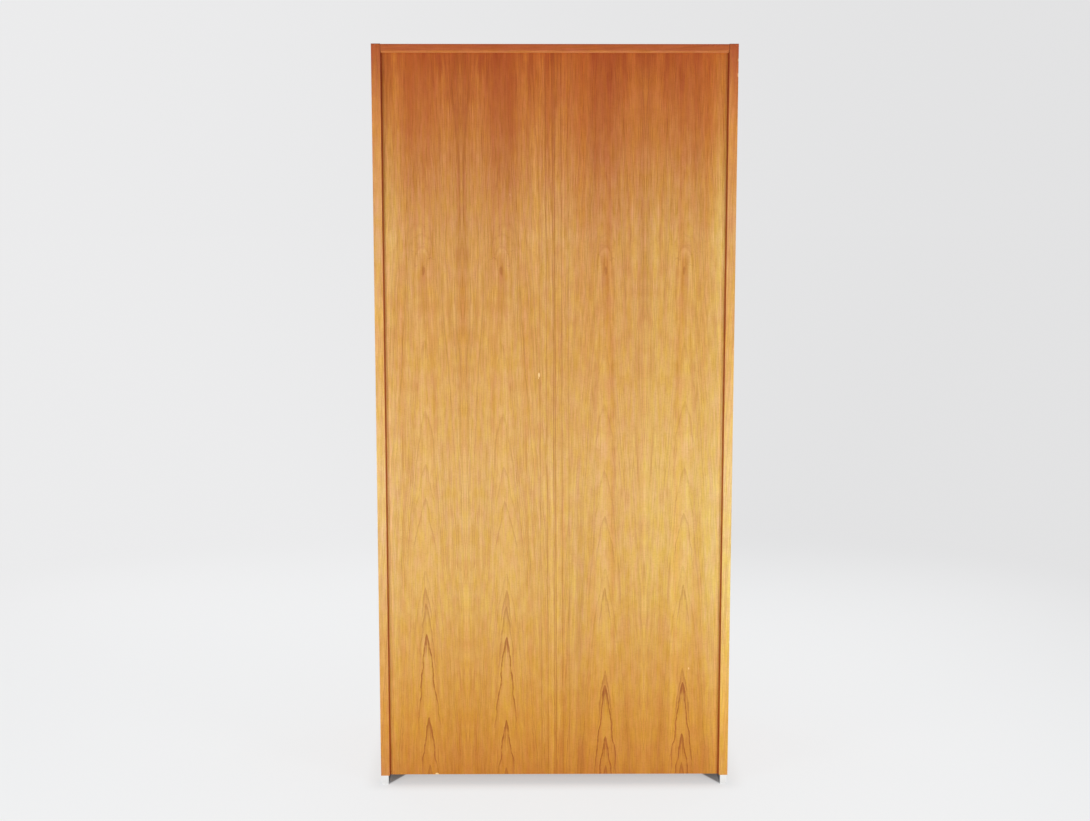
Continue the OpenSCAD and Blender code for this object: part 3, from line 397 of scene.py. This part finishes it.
def slip_veneer(name, along, across, start, leaf_w, tone, seed, crown=2.6, tips=0.45, gloss=0.47):
    """Veneer laid leaf after leaf without turning them; along and across are 0, 1 or 2 for x, y, z."""
    finish = Finish(name)
    place = finish.place()
    if not isinstance(tone, tuple):
        tone = tone(finish, place)
    count = (place[across] - start) / leaf_w
    leaf = count.math("FLOOR")
    local = (count.math("FRACT") - 0.46) * leaf_w
    tone, _, relief = teak_figure(finish, tone, local, place[along] + leaf * 37, 6.0,
                                  leaf * 1.31 + seed, crown, tips)
    return teak_surface(finish, tone, relief, gloss)


def solid_teak(name, along, across, tone, seed, heart=(52.0, 21.0), gloss=0.45):
    """Solid teak sawn clear of the heart, so that its grain runs straight on every face."""
    finish = Finish(name)
    place = finish.place()
    deep = 3 - along - across
    if not isinstance(tone, tuple):
        tone = tone(finish, place)
    tone, _, relief = teak_figure(finish, tone, place[across] + heart[0], place[along],
                                  place[deep] + heart[1], seed, 3.2, 1.0)
    return teak_surface(finish, tone, relief, gloss)


def edge_tone(finish, place):
    """The rear edges stand proud of the back and have paled. Up their height they are palest in the
    middle and darker and redder at the top and bottom, partly their own colour and partly painted
    light and shade. The faces that they turn to the back are darkened with painted shade, the bevel
    over the back carries a painted highlight, the top arris painted shade, and the joint at the top
    is dark. The front edges keep their colour."""
    # Tone by height: the edges' own paled colour, with painted light in the middle and painted shade at the
    # top and bottom
    fade_and_painted_light = finish.node("ShaderNodeValToRGB", {"stops": [
        (0.0, (0.666, 0.303, 0.068)), (0.09, (0.753, 0.386, 0.072)), (0.26, (0.784, 0.503, 0.163)),
        (0.42, (0.828, 0.572, 0.230)), (0.60, (0.786, 0.453, 0.133)), (0.75, (0.743, 0.416, 0.152)),
        (0.90, (0.727, 0.306, 0.080)), (1.0, (0.479, 0.107, 0.025))]},
        {0: place[2] / case_h})
    low = place[2].ramp(1000, 400)
    fade_and_painted_light = finish.tint(low * place[0].ramp(-100, 100), fade_and_painted_light, 0.94, 0.87, 0.93)
    fade_and_painted_light = finish.tint(low * place[0].ramp(100, -100), fade_and_painted_light, 1.05, 1.13, 1.10)
    aside = abs(place[0])
    # Painted shade: the inner faces of the rear edges, in the recess over the back, are darkened and reddened
    inner = aside.ramp(inner_x + 0.9, inner_x + 0.3) * place[1].ramp(back_rear + 1, back_rear + 2)
    painted_light_and_wear = finish.tint(inner * place[2].ramp(roof - 1, roof - 3), fade_and_painted_light, 0.62, 0.32, 0.20)
    # Painted highlight: the small bevel over the back is painted paler
    painted_bevel_highlight = place[2].ramp(roof + 5.4, roof + 4.6) * place[1].ramp(rear_y - 7, rear_y - 6)
    painted_bevel_highlight = painted_bevel_highlight * aside.ramp(inner_x - 0.1, inner_x - 0.7)
    painted_light_and_wear = finish.mix(painted_bevel_highlight * 0.22, painted_light_and_wear, (0.80, 0.42, 0.12, 1))
    # A real dark joint at the top, and painted shade along the top arris
    joint = abs(aside - inner_x).ramp(1.3, 0.3) * place[2].ramp(roof - 0.5, roof + 0.5)
    painted_arris_shade = place[2].ramp(case_h - 2.8, case_h - 0.6)
    painted_light_and_wear = finish.tint(joint.math("MAXIMUM", painted_arris_shade) * 0.8, painted_light_and_wear, 0.50, 0.40, 0.42)
    chipped = finish.noise(place[1] / 1.7, place[2] / 1.7, 0.4, 2) * 0.5
    for at_z, half_h in ((1958.7, 4.0), (1920.4, 5.5), (1203.0, 2.6), (402.0, 3.4)):
        off = ((place[0] + outer_x - 0.5) / 1.8) ** 2 + ((place[1] - rear_y) / 2.2) ** 2
        off = off + ((place[2] - at_z) / half_h) ** 2 + chipped
        painted_light_and_wear = finish.mix(off.ramp(1.2, 0.6) * 0.8, painted_light_and_wear, (0.92, 0.68, 0.36, 1))
    return finish.mix(place[1].ramp(10, -10), painted_light_and_wear, SOLID_TEAK)


def side_tone(finish, place):
    """The sides grow darker and redder towards the top, as the back does: partly the wood's own colour,
    partly painted shade.
    """
    return finish.mix(place[2].ramp(900, 2050), TEAK, (0.600, 0.215, 0.050, 1))


dress(slip_veneer("teak_side_left", 2, 1, -480, 197, side_tone, 4.2), "side_left")
dress(slip_veneer("teak_side_right", 2, 1, -480, 197, side_tone, 15.8), "side_right")
dress(solid_teak("teak_edge_left", 2, 0, edge_tone, 2.3, (520.0, -290.0)), "side_left_lippings")
dress(solid_teak("teak_edge_right", 2, 0, edge_tone, 7.9, (-395.0, -290.0)), "side_right_lippings")


def metal(name, colour, dull, grain_axis, gloss, blotch=0.3, relief=0.00001):
    """Drawn or rolled metal: fine lines along one axis, with duller patches where hands have been."""
    finish = Finish(name)
    place = finish.place()
    if not isinstance(colour, tuple):
        colour = colour(finish, place)
    fine = [part / (60 if axis == grain_axis else 0.35) for axis, part in enumerate(place)]
    lines = finish.noise(*fine, 2)
    patch = finish.noise(place[0] / 14, place[1] / 14, place[2] / 14, 3, 0.6).ramp(-0.2, 0.6)
    tone = finish.mix(patch * blotch, colour, dull)
    return finish.surface(Base_Color=tone, Metallic=1.0, Roughness=lines * 0.06 + patch * 0.10 + gloss,
                          Normal=finish.bump(lines, relief))


def runner_tone(finish, place):
    """Bright outside, and dark grey on the faces turned in under the wardrobe: painted shade."""
    # Painted shade on the inner faces of the runners
    painted_inner_shade = abs(place[0]).ramp(runner_x + 0.7, runner_x + 0.2)
    return finish.mix(painted_inner_shade, (0.92, 0.92, 0.91, 1), (0.27, 0.28, 0.29, 1))


dress(metal("satin_aluminium", runner_tone, (0.74, 0.74, 0.73, 1), 1, 0.34, 0.1),
      "runner_left", "runner_right")


# --- Top and bottom boards, centre partition ----------------------------------------------------
# Veneered boards with the grain running left to right, dowelled and glued between the sides; the
# rear lipping of the top has a small bevel over the back. The partition's grain runs upright.

dress(slip_veneer("teak_top", 0, 1, -470, 203, (0.625, 0.250, 0.058, 1), 21.4), "top_board")
dress(slip_veneer("teak_bottom", 0, 1, -430, 203, INNER_TEAK, 27.1), "bottom_board")
dress(slip_veneer("teak_partition", 2, 1, -420, 188, INNER_TEAK, 33.6), "partition")
dress(solid_teak("teak_rail", 0, 2, edge_tone, 11.6, (-1940.0, -250.0)), "top_lippings")
dress(solid_teak("teak_bottom_lipping", 0, 2, SOLID_TEAK, 13.2), "bottom_lipping")
dress(solid_teak("teak_partition_lipping", 2, 0, SOLID_TEAK, 17.7), "partition_lipping")


def beech():
    finish = Finish("beech")
    x, y, z = finish.place()
    fleck = finish.noise(x / 9, y / 0.8, z / 0.8, 2)
    tone = finish.mix(fleck.ramp(0.0, 0.8) * 0.5, (0.70, 0.48, 0.27, 1), (0.52, 0.31, 0.15, 1))
    return finish.surface(Base_Color=tone, Roughness=fleck * 0.05 + 0.6)


dress(beech(), "case_dowels")


# --- Shelves, pins and clothes rail -------------------------------------------------------------
# Four shelves and a hat shelf, veneered left to right with a solid front lipping, lie on flat-topped
# steel pins. Under the hat shelf a plated steel tube hangs between two socket plates.

for shelf, (name, start) in enumerate((("hat_shelf", -455), ("shelf_1", -448), ("shelf_2", -397),
                                       ("shelf_3", -421), ("shelf_4", -436))):
    dress(slip_veneer(f"teak_{name}", 0, 1, start, 181, INNER_TEAK, 41.0 + 5.3 * shelf), name)
dress(solid_teak("teak_shelf_lippings", 0, 2, SOLID_TEAK, 19.4), "shelf_lippings")
dress(metal("zinc_steel", (0.66, 0.66, 0.67, 1), (0.45, 0.45, 0.46, 1), 0, 0.30), "shelf_pins")
dress(metal("plated_tube", (0.74, 0.74, 0.74, 1), (0.60, 0.59, 0.57, 1), 0, 0.16, 0.2),
      "clothes_rail", "rail_socket_left", "rail_socket_right")


# --- Doors --------------------------------------------------------------------------------------
# Two inset doors, veneered like the back from one run of four book-matched leaves whose middle joint
# is the gap between the doors, and lipped on all four edges with solid teak.

door_low, door_high = (corner * 1000 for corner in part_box("door_left_lippings"))
door_lip = 6.0


def door_veneer(name, outer_seed):
    finish = Finish(name)
    leaf_w, heart_share, crown = 226.0, 0.49, 2.5
    x, y, z = finish.place()
    count = abs(x) / leaf_w
    local = (count.math("PINGPONG", 1.0) - heart_share) * leaf_w
    outer = count.math("GREATER_THAN", 1.0)
    seed = outer * 0.04 + outer_seed
    tone, off_heart, relief = teak_figure(finish, TEAK, local, z, 6.0, seed, crown)
    for tip, arch_crown, share, run in (
            (120, 2.0, 0.6, 200), (335, 2.4, 0.8, 300), (520, 2.2, 0.5, 260), (760, 1.4, 0.45, 320),
            (985, 1.2, 0.42, 360), (1240, 1.7, 0.45, 300), (1490, 1.3, 0.45, 360), (1745, 1.8, 0.4, 260),
            (1900, 1.4, 0.35, 200)):
        tone = arch(finish, tone, off_heart, z, outer * 11 + tip, arch_crown, share, run)
    return teak_surface(finish, tone, relief, 0.45)


def frame_lippings(name, low_z, high_z, seed):
    """Solid lippings round a door: upright on its long edges, level on its short ones."""
    finish = Finish(name)
    x, y, z = finish.place()
    level = abs(z - (low_z + high_z) / 2).math("GREATER_THAN", (high_z - low_z) / 2 - door_lip - 0.05)
    along = z + level * (x - z)
    across = x + level * (z - x)
    tone, _, relief = teak_figure(finish, SOLID_TEAK, across + 52, along, y + 330, seed, 3.2, 1.0)
    return teak_surface(finish, tone, relief, 0.44)


dress(door_veneer("teak_door_veneer", 51.0), "door_left", "door_right")
dress(frame_lippings("teak_door_lippings", door_low.z, door_high.z, 23.5),
      "door_left_lippings", "door_right_lippings")


# --- Pulls --------------------------------------------------------------------------------------
# Boat-shaped pulls turned up from solid teak: a rounded nose outside and a waist for the fingers,
# each held by two machine screws through the door.

dress(solid_teak("teak_pulls", 2, 0, (0.460, 0.175, 0.040, 1), 29.3, (47.0, 350.0), 0.36),
      "pull_left", "pull_right")
for name in ("pull_left", "pull_right"):
    nodes[name].modifiers.new("weld", "WELD").merge_threshold = 0.00002
    eased = nodes[name].modifiers.new("eased", "BEVEL")
    eased.width, eased.segments, eased.angle_limit = 0.0012, 3, math.radians(18)


# --- Hinges, catches, lock and bolt --------------------------------------------------------------
# Brass butt hinges with five knuckles round a loose pin, a brass mortise lock with its key, a brass
# flush bolt with a steel rod, and magnetic catches in ivory plastic. The brass has gone a little dull.

BRASS, DULL_BRASS = (0.80, 0.57, 0.22, 1), (0.50, 0.31, 0.10, 1)
dress(metal("rolled_brass", BRASS, DULL_BRASS, 2, 0.35, 0.55),
      "hinge_case_leaves_left", "hinge_case_leaves_right", "hinge_door_leaves_left",
      "hinge_door_leaves_right", "bolt_keep", "striker_plate", "top_bolt_plate", "lock_case", "lock_cover")
dress(metal("turned_brass", BRASS, DULL_BRASS, 0, 0.20, 0.35),
      "hinge_pins_left", "hinge_pins_right", "escutcheon", "lock_bolt", "key")
dress(metal("bright_steel", (0.68, 0.68, 0.69, 1), (0.48, 0.47, 0.46, 1), 2, 0.24),
      "top_bolt_rod", "catch_strike_left", "catch_strike_right", "catch_magnets")


def ivory_plastic():
    finish = Finish("ivory_plastic")
    x, y, z = finish.place()
    cloud = finish.noise(x / 20, y / 20, z / 20, 2)
    grit = finish.noise(x / 0.4, y / 0.4, z / 0.4, 1)
    tone = finish.mix(cloud.ramp(-0.3, 0.7) * 0.4, (0.74, 0.69, 0.56, 1), (0.66, 0.58, 0.42, 1))
    return finish.surface(Base_Color=tone, Roughness=grit * 0.05 + 0.42, Normal=finish.bump(grit, 0.00001))


dress(ivory_plastic(), "catch_bodies")


# --- Screws -------------------------------------------------------------------------------------
# Slotted countersunk brass screws hold the hinges, the lock and the plates, slotted machine screws
# the pulls, and pan heads the runners. Each was driven home until tight, so no two slots line up.

def screw_recipe():
    """Screws on the points of a mesh, each facing along its point's aim and turned by chance."""
    group = bpy.data.node_groups.new("screws", "GeometryNodeTree")
    recipe = Tree(group)
    sizes = (("Head Radius", 0.003), ("Foot Radius", 0.0015), ("Head Height", 0.0015),
             ("Shank Radius", 0.0015), ("Length", 0.014), ("Point", 0.003),
             ("Slot Width", 0.0008), ("Slot Depth", 0.0007))
    group.interface.new_socket("Geometry", in_out="INPUT", socket_type="NodeSocketGeometry")
    for label, value in sizes:
        group.interface.new_socket(label, in_out="INPUT", socket_type="NodeSocketFloat").default_value = value
    group.interface.new_socket("Seed", in_out="INPUT", socket_type="NodeSocketInt").default_value = 1
    group.interface.new_socket("Material", in_out="INPUT", socket_type="NodeSocketMaterial")
    group.interface.new_socket("Geometry", in_out="OUTPUT", socket_type="NodeSocketGeometry")
    given = recipe.node("NodeGroupInput")
    wires = [given.other(label) for label, _ in sizes]
    head_r, foot_r, head_h, shank_r, length, tip, slot_w, slot_depth = wires

    def moved(shape, z, x_scale=1.0):
        offset = recipe.node("ShaderNodeCombineXYZ", None, {2: z})
        return recipe.node("GeometryNodeTransform", None,
                           {"Geometry": shape, "Translation": offset, "Scale": (x_scale, 1, 1)})

    # Built from the top of the head (z = 0) down to the point
    cone = {"Vertices": 40, "Radius Top": head_r, "Radius Bottom": foot_r, "Depth": head_h}
    head = moved(recipe.node("GeometryNodeMeshCone", None, cone), head_h * -1)
    size = recipe.node("ShaderNodeCombineXYZ", None, {0: head_r * 2.4, 1: slot_w, 2: slot_depth * 2})
    slot = recipe.node("GeometryNodeMeshCube", None, {"Size": size})
    cut_head = recipe.node("GeometryNodeMeshBoolean", {"operation": "DIFFERENCE"},
                           {"Mesh 1": head, "Mesh 2": slot})
    straight = length - head_h - tip
    shank = recipe.node("GeometryNodeMeshCylinder", None,
                        {"Vertices": 20, "Radius": shank_r, "Depth": straight})
    shank = moved(shank, (head_h + straight / 2) * -1)
    point = {"Vertices": 20, "Radius Top": shank_r, "Radius Bottom": shank_r * 0.2, "Depth": tip}
    point = moved(recipe.node("GeometryNodeMeshCone", None, point), length * -1)
    screw = recipe.node("GeometryNodeJoinGeometry")
    for part in (cut_head, shank, point):
        group.links.new(part.socket, screw.socket.node.inputs[0])

    aim = recipe.node("GeometryNodeInputNamedAttribute", {"data_type": "FLOAT_VECTOR"}, {"Name": "aim"})
    facing = recipe.node("FunctionNodeAlignRotationToVector", {"axis": "Z"}, {"Vector": aim})
    turn = recipe.node("FunctionNodeRandomValue", {"data_type": "FLOAT"},
                       {2: 0.0, 3: math.pi, "Seed": given.other("Seed")}, 1)
    spin = recipe.node("FunctionNodeAxisAngleToRotation", None, {"Axis": (0, 0, 1), "Angle": turn})
    facing = recipe.node("FunctionNodeRotateRotation", {"rotation_space": "LOCAL"},
                         {"Rotation": facing, "Rotate By": spin})
    points = recipe.node("GeometryNodeMeshToPoints", None, {"Mesh": given.other("Geometry")})
    driven = recipe.node("GeometryNodeInstanceOnPoints", None,
                         {"Points": points, "Instance": screw, "Rotation": facing})
    single = recipe.node("GeometryNodeRealizeInstances", None, {"Geometry": driven})
    done = recipe.node("GeometryNodeSetMaterial", None,
                       {"Geometry": single, "Material": given.other("Material")})
    recipe.node("NodeGroupOutput", None, {0: done})
    return group


def screw_places(node):
    """The middle of each head's outer face and the way it faces, from the solids of a CAD node."""
    solids = bmesh.new()
    solids.from_mesh(nodes[node].data)
    bmesh.ops.remove_doubles(solids, verts=solids.verts, dist=2e-5)
    to_row = nodes[node].matrix_world
    unseen = set(solids.verts)
    places = []
    while unseen:
        open_verts = [unseen.pop()]
        island = []
        while open_verts:
            vert = open_verts.pop()
            island.append(to_row @ vert.co)
            for edge in vert.link_edges:
                near = edge.other_vert(vert)
                if near in unseen:
                    unseen.remove(near)
                    open_verts.append(near)
        low = Vector([min(point[axis] for point in island) for axis in range(3)])
        high = Vector([max(point[axis] for point in island) for axis in range(3)])
        axis = max(range(3), key=lambda k: high[k] - low[k])
        middle = (low + high) / 2
        spread = [max(((point - middle) * Vector([k != axis for k in range(3)])).length
                      for point in island if abs(point[axis] - end[axis]) < 1e-4) for end in (low, high)]
        outward = Vector([0, 0, 0])
        outward[axis] = 1 if spread[1] > spread[0] else -1
        middle[axis] = high[axis] if spread[1] > spread[0] else low[axis]
        places.append((middle, outward))
    solids.free()
    return sorted(places, key=lambda place: tuple(round(value, 4) for value in place[0]))


def drive_screws(node, body, material, row_slot, seed, recipe, **sizes):
    """One mesh of screws in the places of a CAD node's own, riding with its body."""
    places = screw_places(node)
    mesh = bpy.data.meshes.new(f"{node}_points")
    mesh.from_pydata([point for point, _ in places], [], [])
    aims = mesh.attributes.new("aim", "FLOAT_VECTOR", "POINT")
    for value, (_, outward) in zip(aims.data, places):
        value.vector = outward
    made = bpy.data.objects.new(f"{node}_slotted", mesh)
    bpy.context.scene.collection.objects.link(made)
    builder = made.modifiers.new("screws", "NODES")
    builder.node_group = recipe
    values = {label.replace("_", " ").title(): value / 1000 for label, value in sizes.items()}
    values |= {"Seed": seed, "Material": material}
    for socket in recipe.interface.items_tree:
        if socket.in_out == "INPUT" and socket.name in values:
            builder[socket.identifier] = values[socket.name]
    seen = made.evaluated_get(bpy.context.evaluated_depsgraph_get())
    plain = bpy.data.meshes.new_from_object(seen)
    made.modifiers.remove(builder)
    made.data = plain
    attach(made, body)
    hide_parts(node)


screws = screw_recipe()
screw_brass = metal("screw_brass", (0.78, 0.55, 0.21, 1), (0.46, 0.28, 0.09, 1), 2, 0.30, 0.5)
screw_steel = metal("screw_steel", (0.68, 0.68, 0.68, 1), (0.46, 0.45, 0.43, 1), 1, 0.28)
for node, body, seed in (("case_screws", "case", 3), ("door_screws_left", "left_door", 5),
                         ("door_screws_right", "right_door", 8)):
    drive_screws(node, body, screw_brass, "brass", seed, screws, head_radius=3, foot_radius=1.5,
                 head_height=1.5, shank_radius=1.5, length=14, point=3, slot_width=0.8, slot_depth=0.7)
for node, body, seed in (("pull_screws_left", "left_door", 13), ("pull_screws_right", "right_door", 21)):
    drive_screws(node, body, screw_steel, "steel", seed, screws, head_radius=4, foot_radius=4,
                 head_height=2.5, shank_radius=2, length=36, point=0.5, slot_width=1.1, slot_depth=1.2)
drive_screws("runner_screws", "case", screw_steel, "steel", 34, screws, head_radius=5, foot_radius=5,
             head_height=3, shank_radius=2.5, length=48, point=4, slot_width=1.2, slot_depth=1.4)


# --- Camera -------------------------------------------------------------------------------------
# Standing behind the wardrobe at head height, a little to one side, and looking down at its middle.

camera = bpy.data.objects.new("camera", bpy.data.cameras.new("camera"))
bpy.context.scene.collection.objects.link(camera)
camera.data.lens = 52.84
camera.location = (0.0547, 4.553, 1.610)
aim = Vector((0.0259, 0.315, 1.040)) - camera.location
camera.rotation_mode = "QUATERNION"
camera.rotation_quaternion = aim.to_track_quat("-Z", "Y")
bpy.context.scene.camera = camera


# --- Studio -------------------------------------------------------------------------------------
# A pale floor that fades into a pale surround, and large soft lamps low on both sides, the pair on
# the camera's side the stronger. A fifth lamp stands higher up before the doors.

def surround(tree, sideways):
    """The tone of the far surround: a little brighter towards +X."""
    bright = sideways.ramp(-0.35, 0.35) * 0.07 + 0.765
    return tree.node("ShaderNodeCombineColor", None, {0: bright, 1: bright, 2: bright * 1.008})


def shown_rays(tree):
    """1 for rays that show the surround in the picture, in a polished face or through a clear one."""
    ray = tree.node("ShaderNodeLightPath", output="Is Camera Ray")
    return ray.math("MAXIMUM", ray.other("Is Glossy Ray")).math("MAXIMUM", ray.other("Is Transmission Ray"))


def floor_finish():
    finish = Finish("studio_floor")
    x, y, z = finish.place()
    reach = (x * x + y * y + 1) ** 0.5
    shown = shown_rays(finish)
    aside, away = abs(x), abs(y)
    beside = (aside - outer_x + 7.5).math("MAXIMUM", 0)
    before = (away - rear_y + 5).math("MAXIMUM", 0)
    clear = (beside * beside + before * before) ** 0.5

    # Inside the ends of the runners the floor lies in their lee, out of reach of one pair of lamps: a painted
    # shadow, with darker paint and less glow there
    painted_runner_shadow = ((rear_y - away) * 0.56 - (runner_x + 0.5 - aside)).ramp(-3, 6)
    painted_runner_shadow = painted_runner_shadow * aside.ramp(runner_x + 1, runner_x) * away.ramp(rear_y + 2, rear_y - 1)

    tone = finish.mix(painted_runner_shadow, (0.80, 0.80, 0.80, 1), (0.54, 0.56, 0.58, 1))
    paint = finish.node("ShaderNodeBsdfDiffuse", None, {"Color": tone})
    glow = finish.node("ShaderNodeEmission", None, {"Color": (0.94, 0.95, 0.96, 1)})
    far = finish.node("ShaderNodeEmission", None, {"Color": surround(finish, x / reach)})
    glowing = shown * (clear.ramp(-90, 70) * 0.80) * (1 - painted_runner_shadow * 0.85)
    near = finish.node("ShaderNodeMixShader", None, {0: glowing, 1: paint, 2: glow})
    shader = finish.node("ShaderNodeMixShader", None, {0: shown * reach.ramp(900, 3300), 1: near, 2: far})
    finish.node("ShaderNodeOutputMaterial", None, {"Surface": shader})
    return finish.material


floor_reach = 60.0
floor_mesh = bpy.data.meshes.new("floor")
floor_mesh.from_pydata([(-floor_reach, -floor_reach, 0), (floor_reach, -floor_reach, 0),
                        (floor_reach, floor_reach, 0), (-floor_reach, floor_reach, 0)], [], [(0, 1, 2, 3)])
floor_mesh.materials.append(floor_finish())
floor = bpy.data.objects.new("floor", floor_mesh)
bpy.context.scene.collection.objects.link(floor)

world = bpy.data.worlds.new("studio")
bpy.context.scene.world = world
world.use_nodes = True
sky = Tree(world.node_tree)
way = sky.node("ShaderNodeSeparateXYZ", None, {0: sky.node("ShaderNodeTexCoord", output="Generated")})
fill = sky.node("ShaderNodeBackground", None, {"Color": (0.97, 0.985, 1.0, 1), "Strength": 0.42})
wall = sky.node("ShaderNodeBackground", None, {"Color": surround(sky, way), "Strength": 1.0})
sky.node("ShaderNodeOutputWorld", None,
         {"Surface": sky.node("ShaderNodeMixShader", None, {0: shown_rays(sky), 1: fill, 2: wall})})

for side, front, watts in ((-1, 1, 46), (1, 1, 46), (-1, -1, 22), (1, -1, 22), (0, -1, 16)):
    name = f"softbox_{'back' if front > 0 else 'front'}_{'right middle left'.split()[side + 1]}"
    lamp = bpy.data.objects.new(name, bpy.data.lights.new(name, "AREA"))
    bpy.context.scene.collection.objects.link(lamp)
    lamp.data.shape, lamp.data.size, lamp.data.size_y = "RECTANGLE", 1.1, 1.1
    lamp.data.energy = watts
    lamp.location = (side * 2.3, front * 2.5, 0.80) if side else (0, front * 3.2, 1.90)
    toward = Vector((0, front * 0.315, 0.60)) - lamp.location
    lamp.rotation_mode = "QUATERNION"
    lamp.rotation_quaternion = toward.to_track_quat("-Z", "Y")

bpy.context.scene.view_settings.view_transform = "Standard"
